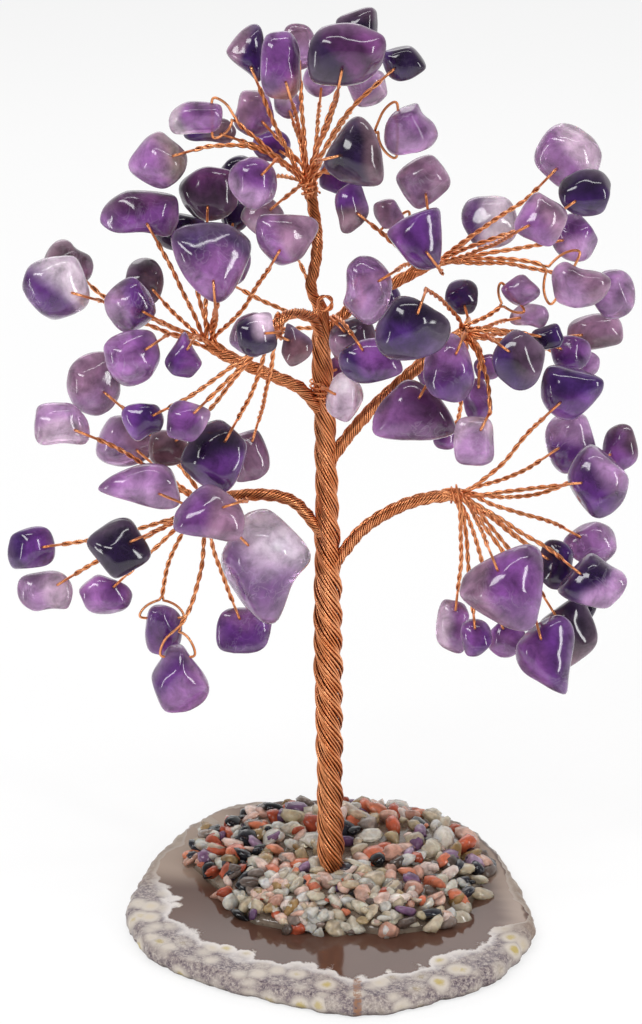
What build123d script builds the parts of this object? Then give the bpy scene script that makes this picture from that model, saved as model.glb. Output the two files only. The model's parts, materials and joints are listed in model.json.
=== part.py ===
"""Gemstone tree ornament: amethyst stones on twisted copper wire over an agate slice.

Millimetres, +Z up. The origin is on the slice's underside, below the trunk's foot, and the viewer
of the photograph stands at -Y. Every stone is drilled and threaded on a wire that is folded back
over its edge and twisted into a stem. The stems of a branch are twisted into a rope, and the ropes
are twisted into the trunk. Its foot is glued in a heap of gem chips on the slice.

Places are read off the photograph in pixels. A place has a third number, its depth behind the
trunk (less than 0 is in front), in pixels of the same size. The eye below turns the three numbers
into millimetres.
"""
import math
import os

from build123d import *

# Sizes of the whole
TREE_HEIGHT = 172.0  # underside of the slice to the top stone
WIRE_DIAMETER = 0.4
HOLE_CLEARANCE = 0.25  # all round the wire in a stone's hole
WIRE_OFF_STONE = 0.35  # a bail's gap over its stone
OVERRUN = 2.0  # past a face, for every cut

# Agate slice and heap
SLICE_THICKNESS = 3.8
SLICE_UNDERCUT = 1.8  # how far the rough rind draws in below the polished face
HEAP_HEIGHT = 4.2
HEAP_SHARES = ((1.0, 0.0), (0.94, 0.45), (0.8, 0.75), (0.45, 1.0))  # of its reach and its height
HEAP_POWERS = (4, 0.7)  # of the curve that the chips on it follow
CHIP_SEAT_SHARE = 0.2  # of a chip's length, its depth in the glue

# Wire work
BINDING_TURNS = 4
BINDING_PITCH = 0.9
KNOT_RADIUS = 1.25
KNOT_TURNS = 1.25
KNOT_PITCH_SHARE = 2.2  # of the wire's diameter
STEM_ARC_SHARE = 0.45  # of the shorter run beside a bend, taken by the bend's arc
STEM_ROOT_SHARE = 0.8  # of the rope's radius, how far from its middle line a stem starts
ROPE_PACKING = 0.8  # share of a rope's section that is wire
BAIL_BEND = 0.45  # radius of a bail's corners
BAIL_REACH_SHARE = 0.22  # of a stone's half size, past its edge
BAIL_SHOULDER_SHARES = (0.76, 0.96)  # of its length and its half width
HOLE_INSET_SHARE = 0.5  # where the hole lies between a stone's middle and its edge

# The photograph's eye, in pixels: the pixel is 1/909 of the tree's height
TREE_HEIGHT_PX = 909.0
PIXEL = TREE_HEIGHT / TREE_HEIGHT_PX
VIEW_CENTRE_X_PX, VIEW_CENTRE_Y_PX = 321.0, 512.0
FOCAL_PX = 3188.0
EYE_SIDE_PX, EYE_DISTANCE_PX, EYE_HEIGHT_PX = -10.0, 2865.0, 1502.0
EYE_PITCH = 20.6  # degrees below level

# Trunk: pixel of its middle line and its width there
TRUNK_PX = [
    (331, 848, 27), (330, 790, 25), (329, 700, 27), (328, 640, 28), (328, 575, 26),
    (327, 500, 22), (326, 440, 21), (323, 385, 20), (321, 340, 18), (321, 310, 14),
]
BINDING_PX = (323, 399)
HUB_BINDINGS = {"crown": 3, "right_lower": 2}  # branches whose rope is wound at its end, and the turns
KNOT_PX = (325, 304, -13.5)

# Each branch: how many wires its rope holds, and the rope's way from the trunk to its hub
ROPE_WIRES = {
    "crown": 22, "left_upper": 28, "left_inner": 18, "left_lower": 26,
    "right_upper": 24, "right_middle": 28, "right_lower": 28, "back": 16,
}
ROPES_PX = {
    "crown": [(318, 303, 0), (309, 288, -2), (316, 264, 0), (318, 236, 0), (313, 205, 0), (308, 180, 0)],
    "left_upper": [(303, 388, -8), (278, 378, -10), (252, 367, -8), (230, 358, -8), (208, 343, -10)],
    "left_inner": [(316, 318, -13), (300, 312, -40), (282, 316, -60), (275, 330, -68)],
    "left_lower": [(307, 514, -4), (294, 500, -12), (270, 494, -18), (238, 495, -22), (206, 502, -22)],
    "right_upper": [(337, 320, 4), (352, 307, 12), (378, 291, 14), (404, 278, 12), (430, 264, 10)],
    "right_middle": [(345, 440, -2), (358, 424, -6), (376, 404, -8), (400, 383, -10),
        (430, 356, -22), (466, 332, -40)],
    "right_lower": [(349, 545, -2), (359, 532, -6), (380, 516, -12), (416, 499, -18), (460, 494, -20)],
    "back": [(323, 352, 14), (324, 338, 50), (326, 330, 90), (326, 326, 118)],
}

# Outlines of tumbled stones, as shares of the box round them, pointing to the right
OUTLINE_SHARES = {
    "egg": [(.5, .02), (.36, .38), (0, .5), (-.38, .4), (-.5, 0), (-.36, -.4), (.02, -.5), (.38, -.36)],
    "block": [(.5, .2), (.34, .48), (-.3, .46), (-.5, .18), (-.46, -.3), (-.22, -.5), (.3, -.44),
        (.5, -.16)],
    "bar": [(.5, .06), (.4, .42), (0, .5), (-.4, .42), (-.5, -.05), (-.38, -.44), (.05, -.42),
        (.4, -.46)],
    "lens": [(.5, .05), (.22, .38), (-.1, .5), (-.38, .3), (-.5, -.05), (-.2, -.42), (.12, -.5),
        (.4, -.25)],
    "wedge": [(.5, 0), (.15, .3), (-.26, .5), (-.48, .24), (-.48, -.2), (-.22, -.5), (.2, -.32)],
    "drop": [(.5, 0), (.2, .24), (-.15, .48), (-.42, .36), (-.5, 0), (-.4, -.4), (-.12, -.5),
        (.22, -.22)],
    "kite": [(.5, .06), (.2, .34), (-.05, .5), (-.32, .24), (-.5, -.08), (-.22, -.36), (.08, -.5),
        (.34, -.26)],
    "bean": [(.5, .2), (.3, .5), (-.1, .42), (-.4, .46), (-.5, .05), (-.3, -.4), (.05, -.5), (.4, -.3)],
    "heel": [(.5, -.26), (.36, .12), (.12, .44), (-.16, .5), (-.38, .14), (-.5, -.26), (-.3, -.5),
        (.34, -.48)],
    "fang": [(.38, .46), (.02, .4), (-.4, .18), (-.5, 0), (-.24, -.2), (.1, -.36), (.36, -.5),
        (.48, -.3), (.5, .1)],
}
LEVEL_SHARES = (-0.93, -0.6, 0.0, 0.6, 0.93)  # of a stone's half thickness, where it is outlined
ROUND_POWER = 2.3  # of the curve from a stone's face over its edge
THICKNESS_SHARES = (0.62, 0.74)  # least and most, of a stone's smaller size
LEAN_SHARE = 0.2  # how far the two faces of a stone stand out of line

# Stones: branch, tone, middle, box, outline, turn in degrees, and the stem's way from the hub
STONES = {
    "a": ("crown", "lilac", (245, 53, 12), (38, 58), "fang", 0, [(276, 128, 6)]),
    "b": ("crown", "violet", (281, 66, -45), (40, 68), "bar", 90, [(300, 130, -14)]),
    "c": ("crown", "lilac", (299, 48, 28), (34, 50), "egg", 0, [(302, 120, 10)]),
    "d": ("crown", "dark", (345, 55, -62), (80, 60), "block", 0, [(334, 110, -38)]),
    "e": ("crown", "dark", (358, 28, 18), (44, 42), "wedge", 50, [(334, 100, 6)]),
    "f": ("crown", "dark", (402, 62, -8), (50, 38), "lens", -15, [(345, 112, -4)]),
    "g": ("crown", "lilac", (368, 88, 62), (40, 36), "kite", -40, [(338, 128, 22)]),
    "h": ("crown", "lilac", (322, 78, 86), (38, 40), "egg", 0, [(318, 125, 34)]),
    "i": ("crown", "lilac", (287, 104, 60), (26, 32), "egg", 0, [(300, 140, 24)]),
    "j": ("crown", "lilac", (254, 113, 44), (44, 46), "egg", 0, [(285, 146, 20)]),
    "j2": ("crown", "violet", (272, 146, 90), (38, 32), "egg", 20, [(294, 160, 40)]),
    "k": ("crown", "violet", (197, 118, -22), (58, 34), "bar", 0, [(258, 140, -8)]),
    "l": ("crown", "dark", (208, 130, 26), (58, 26), "bar", -4, [(270, 150, 8)]),
    "m": ("crown", "violet", (159, 160, -16), (62, 63), "kite", 0, [(250, 143, -20), (208, 146, -20)]),
    "o": ("crown", "lilac", (253, 184, -42), (51, 52), "egg", 30, [(276, 160, -26)]),
    "p": ("crown", "lilac", (262, 217, 22), (47, 42), "egg", 40, [(296, 188, 12)]),
    "ab": ("crown", "dark", (354, 152, -48), (59, 69), "heel", -12, [(322, 160, -20)]),
    "ac": ("crown", "lilac", (411, 130, -10), (55, 58), "bean", -50, [(350, 156, 4)]),
    "hb": ("crown", "violet", (340, 176, 84), (46, 42), "egg", 60, [(322, 172, 34)]),
    "hc": ("crown", "dark", (240, 176, 96), (44, 40), "egg", 15, [(278, 176, 44)]),
    "n": ("left_upper", "dark", (208, 192, 16), (60, 56), "lens", 45, [(206, 262, 16)]),
    "q": ("left_upper", "dark", (234, 216, 52), (30, 32), "egg", 0, [(224, 276, 24)]),
    "r": ("left_upper", "lilac", (286, 240, -36), (63, 53), "wedge", 28,
        [(236, 318, -22), (262, 280, -32)]),
    "s": ("left_upper", "violet", (141, 213, -8), (86, 45), "bar", -5, [(184, 290, -6)]),
    "t": ("left_upper", "dark", (182, 232, 52), (54, 38), "egg", 0, [(196, 286, 24)]),
    "u": ("left_upper", "violet", (212, 262, -46), (80, 76), "heel", 180, [(216, 318, -20)]),
    "v": ("left_upper", "lilac", (68, 264, 34), (52, 52), "bean", -40, [(150, 318, 8), (104, 298, 22)]),
    "w": ("left_upper", "violet", (55, 288, -18), (70, 69), "block", 20,
        [(150, 328, 8), (104, 302, -6)]),
    "x": ("left_upper", "dark", (145, 281, 24), (40, 48), "lens", 120, [(178, 318, 6)]),
    "y": ("left_upper", "lilac", (131, 305, -28), (52, 56), "egg", -60, [(176, 330, -14)]),
    "bb": ("left_upper", "violet", (133, 358, -66), (58, 58), "block", 12, [(172, 332, -44)]),
    "cc": ("left_upper", "violet", (183, 356, -66), (39, 48), "drop", 84, [(196, 336, -34)]),
    "ha": ("left_upper", "violet", (226, 262, 66), (48, 46), "egg", 70, [(218, 306, 24)]),
    "z": ("left_inner", "dark", (256, 334, -122), (42, 48), "kite", -35, [(270, 333, -92)]),
    "aa": ("left_inner", "dark", (295, 343, -108), (32, 47), "drop", 110, [(283, 338, -86)]),
    "gg": ("left_inner", "violet", (144, 420, -74), (44, 42), "bar", 24,
        [(236, 364, -74), (192, 396, -76)]),
    "hh": ("left_inner", "violet", (186, 421, -108), (45, 44), "block", -20, [(242, 366, -90)]),
    "ii": ("left_inner", "dark", (168, 448, -26), (42, 36), "egg", 0,
        [(240, 372, -56), (206, 414, -44)]),
    "jj": ("left_inner", "dark", (217, 456, -72), (70, 72), "block", 50, [(256, 386, -74)]),
    "kk": ("left_inner", "lilac", (248, 456, -24), (44, 62), "lens", 68, [(268, 388, -50)]),
    "dd": ("left_lower", "lilac", (93, 383, -18), (55, 70), "egg", -60, [(184, 470, 8), (142, 424, 4)]),
    "ee": ("left_lower", "lilac", (60, 424, -60), (63, 43), "bar", 4,
        [(166, 484, -34), (124, 450, -54)]),
    "ff": ("left_lower", "lilac", (125, 440, 28), (60, 54), "lens", -60, [(176, 484, 4)]),
    "ll": ("left_lower", "lilac", (140, 486, -66), (87, 48), "wedge", 184, [(194, 508, -48)]),
    "mm": ("left_lower", "lilac", (208, 512, -120), (74, 57), "wedge", 200, [(246, 500, -56)]),
    "nn": ("left_lower", "lilac", (265, 563, -62), (94, 118), "bar", 58, [(226, 522, -38)]),
    "oo": ("left_lower", "violet", (244, 630, -10), (56, 44), "block", -5, [(212, 550, -16)]),
    "pp": ("left_lower", "dark", (118, 547, -74), (65, 64), "kite", -20, [(172, 524, -50)]),
    "qq": ("left_lower", "violet", (30, 549, -30), (51, 45), "block", 8,
        [(150, 526, -20), (92, 540, -24)]),
    "rr": ("left_lower", "lilac", (46, 592, -20), (54, 40), "bar", 10, [(160, 532, 0), (98, 560, -12)]),
    "ss": ("left_lower", "violet", (105, 595, -14), (55, 41), "lens", 22, [(164, 540, 6)]),
    "tt": ("left_lower", "violet", (162, 630, -26), (40, 52), "lens", -58, [(170, 548, -20)]),
    "uu": ("left_lower", "violet", (178, 675, -76), (61, 78), "drop", 90,
        [(204, 560, -44), (192, 606, -66)]),
    "ad": ("right_upper", "lilac", (424, 181, 16), (51, 52), "block", 30, [(430, 226, 8)]),
    "ae": ("right_upper", "dark", (350, 207, -24), (38, 54), "bar", -62, [(402, 250, -6)]),
    "af": ("right_upper", "lilac", (389, 214, 36), (34, 30), "lens", -30, [(410, 244, 22)]),
    "ag": ("right_upper", "violet", (415, 237, -46), (58, 67), "wedge", 62, [(428, 254, -14)]),
    "ah": ("right_upper", "violet", (489, 222, 48), (55, 51), "lens", -42, [(462, 246, 26)]),
    "ai": ("right_upper", "lilac", (568, 157, 8), (68, 70), "egg", -40, [(476, 232, 4), (524, 202, 4)]),
    "aj": ("right_upper", "dark", (587, 193, -42), (57, 48), "egg", 0,
        [(486, 240, -22), (540, 226, -34)]),
    "ak": ("right_upper", "lilac", (541, 219, -92), (54, 54), "kite", 10, [(490, 246, -40)]),
    "al": ("right_upper", "violet", (575, 238, 22), (50, 50), "egg", 50, [(500, 252, 6)]),
    "am": ("right_upper", "lilac", (367, 288, -62), (53, 73), "bean", 78, [(404, 266, -22)]),
    "ap": ("right_upper", "lilac", (580, 286, -34), (61, 47), "bean", -20,
        [(488, 256, -10), (536, 262, -24)]),
    "aq": ("right_upper", "lilac", (613, 294, 16), (44, 51), "egg", 90,
        [(500, 262, 10), (552, 272, 12)]),
    "ar": ("right_middle", "lilac", (530, 316, 32), (40, 24), "bar", -10, [(498, 322, 6)]),
    "ao": ("right_middle", "violet", (520, 291, -2), (42, 34), "kite", -10, [(492, 314, -18)]),
    "as": ("right_middle", "dark", (462, 297, 22), (34, 36), "lens", -50, [(468, 318, -4)]),
    "at": ("right_middle", "lilac", (597, 333, 62), (58, 38), "block", -5,
        [(506, 334, 0), (556, 338, 36)]),
    "an": ("right_middle", "dark", (412, 330, -130), (74, 64), "egg", -12,
        [(450, 306, -60), (426, 290, -104)]),
    "az": ("right_middle", "violet", (449, 370, -88), (57, 71), "egg", -60, [(462, 340, -68)]),
    "ba": ("right_middle", "violet", (478, 400, -52), (31, 50), "lens", 65, [(480, 352, -50)]),
    "bc_clear": ("right_middle", "lilac", (475, 441, -98), (41, 50), "block", 84,
        [(488, 372, -72), (490, 412, -104)]),
    "bc": ("right_middle", "violet", (446, 438, -4), (26, 24), "egg", 0,
        [(464, 386, -22), (458, 420, -8)]),
    "ay": ("right_middle", "violet", (412, 410, -46), (88, 58), "heel", 0, [(440, 362, -56)]),
    "bd": ("right_middle", "dark", (520, 359, -84), (56, 64), "egg", -45, [(490, 338, -52)]),
    "be": ("right_middle", "dark", (549, 338, -36), (34, 30), "kite", -30, [(506, 330, -36)]),
    "bf": ("right_middle", "violet", (571, 353, 4), (42, 38), "block", 10, [(520, 332, -16)]),
    "bh": ("right_middle", "violet", (589, 363, 30), (22, 26), "egg", 0, [(530, 344, 10)]),
    "bi": ("right_middle", "violet", (487, 368, -22), (26, 28), "lens", 60, [(478, 346, -30)]),
    "hd": ("right_middle", "dark", (440, 374, 44), (46, 48), "egg", 35, [(456, 346, 2)]),
    "bg": ("right_lower", "dark", (571, 393, -48), (69, 57), "wedge", 22,
        [(498, 468, -26), (530, 430, -36)]),
    "bj": ("right_lower", "lilac", (571, 440, 18), (52, 68), "lens", 62, [(520, 474, 0)]),
    "bk": ("right_lower", "violet", (597, 481, -44), (61, 74), "egg", 62, [(520, 490, -34)]),
    "bl": ("right_lower", "violet", (619, 448, 22), (38, 50), "lens", 62,
        [(520, 500, 6), (570, 484, 24)]),
    "bm": ("right_lower", "lilac", (592, 543, 34), (58, 46), "egg", -38,
        [(500, 508, -4), (552, 522, 20)]),
    "bn": ("right_lower", "dark", (592, 583, -52), (77, 61), "kite", 0,
        [(500, 520, -30), (548, 548, -44)]),
    "bo": ("right_lower", "dark", (556, 565, -12), (36, 50), "bar", 88, [(496, 522, -2)]),
    "bp": ("right_lower", "lilac", (504, 586, -108), (85, 85), "heel", -36, [(478, 522, -62)]),
    "bq": ("right_lower", "dark", (566, 632, -4), (61, 80), "bar", -58,
        [(494, 530, -10), (532, 578, -16)]),
    "br": ("right_lower", "violet", (546, 658, -70), (57, 87), "drop", -66,
        [(486, 526, -34), (528, 590, -56)]),
    "bs": ("right_lower", "lilac", (476, 638, -62), (33, 38), "egg", 0, [(466, 540, -34)]),
    "bt": ("right_lower", "lilac", (454, 624, -22), (34, 56), "bar", 78, [(462, 552, -20)]),
    "bu": ("right_lower", "violet", (506, 638, -14), (40, 42), "egg", -40, [(478, 548, -12)]),
    "bv": ("right_lower", "dark", (584, 606, 44), (26, 30), "egg", 0, [(508, 528, 10), (556, 570, 30)]),
    "he": ("back", "violet", (288, 238, 150), (40, 46), "egg", 0, [(312, 288, 136)]),
    "hf": ("back", "dark", (376, 296, 150), (48, 46), "block", 30, [(350, 312, 140)]),
    "hg": ("back", "violet", (214, 276, 150), (50, 46), "egg", 60, [(274, 306, 140)]),
    "hh2": ("back", "violet", (424, 330, 128), (50, 46), "egg", -30, [(376, 332, 128)]),
    "hi": ("back", "dark", (352, 352, 160), (40, 44), "bean", 0, [(336, 336, 148)]),
    "hj": ("back", "violet", (252, 334, 160), (44, 46), "block", 60, [(290, 328, 150)]),
    "av": ("trunk", "dark", (370, 361, -72), (69, 46), "lens", -28,
        [(334, 316, -13), (342, 320, -54), (352, 334, -76)]),
    "au": ("trunk", "violet", (353, 340, -32), (53, 48), "block", 20, [(331, 318, -12)]),
    "aw": ("trunk", "lilac", (344, 399, -36), (40, 52), "egg", 60, [(331, 392, -14)]),
    "ax": ("trunk", "violet", (343, 367, 30), (30, 24), "egg", 0, [(330, 372, 16)]),
}
# Stones whose hole runs across their stem instead of front to back, in bails that stand open
CROSSWISE = ("k", "ac", "af", "ao", "ap", "tt", "uu")
# Stones that turn in their bails, each a piece by itself, and the side that the bail is on
LOOSE = {
    "k": ("crown_loop_stone_left", (1, 0)),
    "ac": ("crown_loop_stone_right", (-1, 0)),
    "tt": ("hanging_stone_small", (0, 1)),
    "uu": ("hanging_stone_large", (0, 1)),
}

# The slice's polished face and the heap, outlined in pixels
SLICE_PX = [
    (535, 925), (530, 900), (513, 868), (487, 836), (452, 815), (408, 802), (340, 797), (268, 798),
    (222, 805), (186, 824), (160, 846), (144, 866), (128, 894), (124, 913), (142, 940), (180, 962),
    (228, 978), (290, 992), (338, 1000), (386, 1000), (440, 988), (486, 974), (517, 952),
]
HEAP_PX = [
    (492, 880), (484, 850), (455, 828), (415, 814), (345, 806), (272, 808), (226, 822), (196, 842),
    (184, 866), (206, 886), (230, 904), (246, 926), (290, 934), (345, 933), (392, 939),
    (440, 932), (480, 908),
]
CHIP_COUNT = 150
CHIP_REACH_SHARE = 0.96  # of the way to the heap's rim
CHIP_MINERALS = (
    "clear_quartz", "rose_quartz", "carnelian", "clear_quartz", "tourmaline", "citrine",
    "clear_quartz", "amethyst", "carnelian", "smoky", "clear_quartz", "rose_quartz",
)
CHIP_OUTLINE_SHARES = [(.5, .05), (.3, .38), (-.12, .42), (-.46, .2), (-.42, -.24), (-.05, -.42), (.34, -.32)]
CHIP_HEIGHT_SHARES = (0.5, 0.75)  # of its length
CHIP_SIZE_SHARES = (0.58, 0.86)  # of the room that each has
CHIP_FIRST = 7  # room left round the trunk's foot, in chips
CHIP_TAPER = 16.0  # degrees
CHIP_TILT = 24.0  # degrees, the most
CHIP_TURN = 73.0  # degrees, from one to the next
GOLDEN_TURN = 137.508  # degrees

HOLE_RADIUS = WIRE_DIAMETER / 2 + HOLE_CLEARANCE
STEM_RADIUS = WIRE_DIAMETER  # two wires twisted together
PITCH_SINE, PITCH_COSINE = math.sin(math.radians(EYE_PITCH)), math.cos(math.radians(EYE_PITCH))


def sight_line(x_px, y_px):
    """Direction from the eye through a pixel."""
    side = (x_px - VIEW_CENTRE_X_PX) / FOCAL_PX
    rise = (VIEW_CENTRE_Y_PX - y_px) / FOCAL_PX
    return Vector(side, PITCH_COSINE + rise * PITCH_SINE, rise * PITCH_COSINE - PITCH_SINE)


def eye():
    """The photograph's eye in the object's frame."""
    return Vector(EYE_SIDE_PX, -EYE_DISTANCE_PX, EYE_HEIGHT_PX) * PIXEL


def seen(x_px, y_px, depth_px=0.0):
    """The point at a pixel, on the upright plane at that depth."""
    ray = sight_line(x_px, y_px)
    return eye() + ray * ((EYE_DISTANCE_PX + depth_px) * PIXEL / ray.Y)


def seen_on_level(x_px, y_px, height):
    """The point at a pixel, on the level plane at that height."""
    ray = sight_line(x_px, y_px)
    return eye() + ray * ((height - eye().Z) / ray.Z)


def share_of(number, low, high):
    """A share between low and high that looks unordered, and is always the same for a number."""
    return low + (high - low) * ((number * GOLDEN_TURN / 360 + 0.5) % 1)


def way_out(outline, direction):
    """From the origin to an outline round it, straight in a direction."""
    best = 0.0
    for one, two in zip(outline, outline[1:] + outline[:1]):
        side = two - one
        across = direction.X * side.Y - direction.Y * side.X
        if across:
            along = (one.X * side.Y - one.Y * side.X) / across
            part = (one.X * direction.Y - one.Y * direction.X) / across
            if along > 0 and 0 <= part <= 1:
                best = max(best, along)
    return best


def tube(points, radius, bend):
    """A closed loop of round wire along straight runs joined by tangent arcs."""
    path = FilletPolyline(*points, radius=bend, close=True)
    start = path @ 0
    section = Plane(origin=start, z_dir=path % 0) * Circle(radius)
    return sweep(section, path=path)


def stem_tube(points, radius):
    """A wire through points whose arcs are as large as the runs on both sides allow."""
    bends = []
    for before, corner, after in zip(points, points[1:], points[2:]):
        turn = math.radians((corner - before).get_angle(after - corner))
        shorter = min((corner - before).length, (after - corner).length)
        bends.append(STEM_ARC_SHARE * shorter / math.tan(turn / 2))
    path = FilletPolyline(*points, radius=bends)
    return sweep(Plane(origin=points[0], z_dir=points[1] - points[0]) * Circle(radius), path=path)


class Stone:
    """One drilled stone: its own plane across the line of sight, its outline, hole and bail."""

    def __init__(self, number, name):
        self.branch, self.tone, place, box, outline, turn, self.way = STONES[name]
        self.name = name
        self.middle = seen(*place)
        facing = Vector(0, -1, 0) if name in LOOSE else eye() - self.middle
        self.plane = Plane(origin=self.middle, x_dir=(1, 0, 0), z_dir=facing)
        self.size = Vector(*box) * PIXEL * ((eye() - self.middle).length / (FOCAL_PX * PIXEL))
        self.half_thickness = min(self.size.X, self.size.Y) / 2 * share_of(number, *THICKNESS_SHARES)
        lean = math.radians(number * GOLDEN_TURN)
        self.lean = Vector(math.cos(lean), math.sin(lean)) * LEAN_SHARE * self.half_thickness
        self.outline = self.turned(OUTLINE_SHARES[outline], turn)
        self.thread()

    def turned(self, shares, turn):
        """The outline turned in the picture, then fitted to the stone's box again."""
        points = [Vector(*share).rotate(Axis.Z, turn) for share in shares]
        low_x, high_x = min(p.X for p in points), max(p.X for p in points)
        low_y, high_y = min(p.Y for p in points), max(p.Y for p in points)
        return [
            Vector(((p.X - low_x) / (high_x - low_x) - 0.5) * self.size.X,
                   ((p.Y - low_y) / (high_y - low_y) - 0.5) * self.size.Y)
            for p in points
        ]

    def reach(self, direction, start=Vector()):
        """From a point inside the outline to its edge, straight in a direction."""
        return way_out([p - start for p in self.outline], direction)

    def section(self, level):
        """The outline at one level of the thickness."""
        scale = (1 - abs(level) ** ROUND_POWER) ** (1 / ROUND_POWER)
        shift = self.lean * level
        points = [p * scale + shift for p in self.outline]
        plane = self.plane.offset(level * self.half_thickness)
        return plane * make_face(Spline(*points, periodic=True))

    def body(self):
        return loft([self.section(level) for level in LEVEL_SHARES])

    def thread(self):
        """Fix the hole and the bail's mouth on the side where the stem comes from."""
        local = self.plane.to_local_coords(seen(*self.way[-1]))
        self.toward = Vector(local.X, local.Y).normalized()
        if self.name in LOOSE:
            self.toward = Vector(*LOOSE[self.name][1])
        reach = self.reach(self.toward)
        half = (self.size.X + self.size.Y) / 4
        self.hole_at = self.toward * reach * HOLE_INSET_SHARE
        self.bail_length = reach * (1 - HOLE_INSET_SHARE) + half * BAIL_REACH_SHARE + WIRE_OFF_STONE
        if self.name in CROSSWISE:
            self.through = Vector(-self.toward.Y, self.toward.X)
            sides = (self.through, self.through * -1)
            self.bail_half = max(self.reach(side, self.hole_at) for side in sides) + 2 * WIRE_OFF_STONE
        else:
            self.through = Vector(0, 0, 1)
            self.bail_half = self.half_thickness + WIRE_OFF_STONE
        self.mouth = self.out(self.hole_at + self.toward * self.bail_length)

    def out(self, local):
        return self.plane.from_local_coords(local)

    def node(self):
        """The name of the node that the stone is in."""
        if self.name in LOOSE:
            return LOOSE[self.name][0]
        return "trunk_stones" if self.branch == "trunk" else f"{self.branch}_{self.tone}_stones"

    def hole_line(self):
        """The plane across the hole at its middle."""
        place = self.out(self.hole_at)
        return Plane(origin=place, z_dir=self.out(self.hole_at + self.through) - place)

    def hole(self):
        return self.hole_line() * Cylinder(HOLE_RADIUS, 2 * (self.bail_half + OVERRUN))

    def bail(self):
        """The wire through the hole and round both sides to the mouth, as one closed loop."""
        a, b = self.toward * self.bail_length, self.through * self.bail_half
        along, aside = BAIL_SHOULDER_SHARES
        corners = [b * -1, a * along - b * aside, a, a * along + b * aside, b]
        points = [self.out(self.hole_at + c) for c in corners]
        return tube(points, WIRE_DIAMETER / 2, BAIL_BEND)


def rope_radius(branch):
    """Radius of so many wires packed together."""
    return WIRE_DIAMETER / 2 * math.sqrt(ROPE_WIRES[branch] / ROPE_PACKING)


def hub_of(branch):
    return seen(*ROPES_PX[branch][-1])


def agate_slice():
    top = [seen_on_level(x, y, SLICE_THICKNESS) for x, y in SLICE_PX]
    middle = sum(top, Vector()) / len(top)
    under = []
    for point in top:
        outward = Vector(point.X - middle.X, point.Y - middle.Y)
        under.append(Vector(point.X, point.Y) - outward.normalized() * SLICE_UNDERCUT)
    faces = [make_face(Spline(*under, periodic=True)), make_face(Spline(*top, periodic=True))]
    return loft(faces)


def heap_outline(scale, height):
    """The heap's outline, drawn in towards the trunk's foot, at a height over the slice."""
    level = SLICE_THICKNESS + height
    points = [seen_on_level(x, y, SLICE_THICKNESS) for x, y in HEAP_PX]
    return make_face(Spline(*[Vector(p.X * scale, p.Y * scale, level) for p in points], periodic=True))


def glue_bed():
    """The heap of glue: steep at its rim, nearly flat on top."""
    return loft([heap_outline(scale, share * HEAP_HEIGHT) for scale, share in HEAP_SHARES])


def heap_rim(angle):
    """How far the heap reaches from the trunk's foot in a direction."""
    points = [seen_on_level(x, y, SLICE_THICKNESS) for x, y in HEAP_PX]
    return way_out(points, Vector(math.cos(angle), math.sin(angle)))


def heap_height(share):
    """Height of the glue at a share of the way from the foot to the rim."""
    inner, outer = HEAP_POWERS
    return HEAP_HEIGHT * (1 - share ** inner) ** outer


def chip(number):
    """One chip: a seven-sided grain, wider below, set in the glue at its own tilt."""
    share = CHIP_REACH_SHARE * math.sqrt((number + CHIP_FIRST) / (CHIP_COUNT + CHIP_FIRST))
    angle = math.radians(number * GOLDEN_TURN)
    rim = heap_rim(angle)
    out = rim * share
    room = rim * CHIP_REACH_SHARE * math.sqrt(math.pi / (CHIP_COUNT + CHIP_FIRST))
    size = room * share_of(number * 5, *CHIP_SIZE_SHARES)
    points = [Vector(*p) * size for p in CHIP_OUTLINE_SHARES]
    grain = extrude(make_face(Polyline(*points, close=True)),
                    size * share_of(number * 3, *CHIP_HEIGHT_SHARES), taper=CHIP_TAPER)
    lean = share_of(number, -CHIP_TILT, CHIP_TILT)
    turn = (lean, share_of(number * 7, -CHIP_TILT, CHIP_TILT), number * CHIP_TURN)
    height = SLICE_THICKNESS + heap_height(share) - CHIP_SEAT_SHARE * size
    return Location((out * math.cos(angle), out * math.sin(angle), height), turn) * grain


def trunk_circle(x_px, y_px, width_px):
    middle = seen(x_px, y_px)
    return Plane(origin=middle) * Circle(width_px * PIXEL / 2)


def trunk_bundle():
    circles = [trunk_circle(*row) for row in TRUNK_PX]
    foot = circles[0].center()
    stand = Plane(origin=(foot.X, foot.Y, SLICE_THICKNESS)) * Circle(TRUNK_PX[0][2] * PIXEL / 2)
    return loft([stand] + circles)


def winding(start, axis, across, radius, pitch, turns, wire_radius):
    """A wound wire: arcs of a quarter turn, each tangent to the one before."""
    third = axis.cross(across)
    quarters = round(turns * 4)
    rise = pitch / 4
    places = [
        start + (across * math.cos(q * math.pi / 2) + third * math.sin(q * math.pi / 2)) * radius
        + axis * (q * rise)
        for q in range(quarters + 1)
    ]
    heading = (third * (math.pi / 2 * radius) + axis * rise).normalized()
    arcs = []
    for one, two in zip(places, places[1:]):
        arcs.append(TangentArc(one, two, tangent=heading))
        heading = arcs[-1] % 1
    path = Wire(arcs)
    return sweep(Plane(origin=places[0], z_dir=path % 0) * Circle(wire_radius), path=path)


def trunk_binding():
    low = seen(*BINDING_PX)
    radius = trunk_width_at(low.Z) / 2 + WIRE_DIAMETER
    upward, forward = Vector(0, 0, 1), Vector(0, -1, 0)
    return winding(low, upward, forward, radius, BINDING_PITCH, BINDING_TURNS, WIRE_DIAMETER / 2)


def trunk_width_at(height):
    """The trunk's thickness at a height, straight between the places where it was measured."""
    rows = [(seen(x, y).Z, width * PIXEL) for x, y, width in TRUNK_PX]
    for (low, low_width), (high, high_width) in zip(rows, rows[1:]):
        if low <= height <= high:
            return low_width + (high_width - low_width) * (height - low) / (high - low)
    return rows[-1][1]


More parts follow.
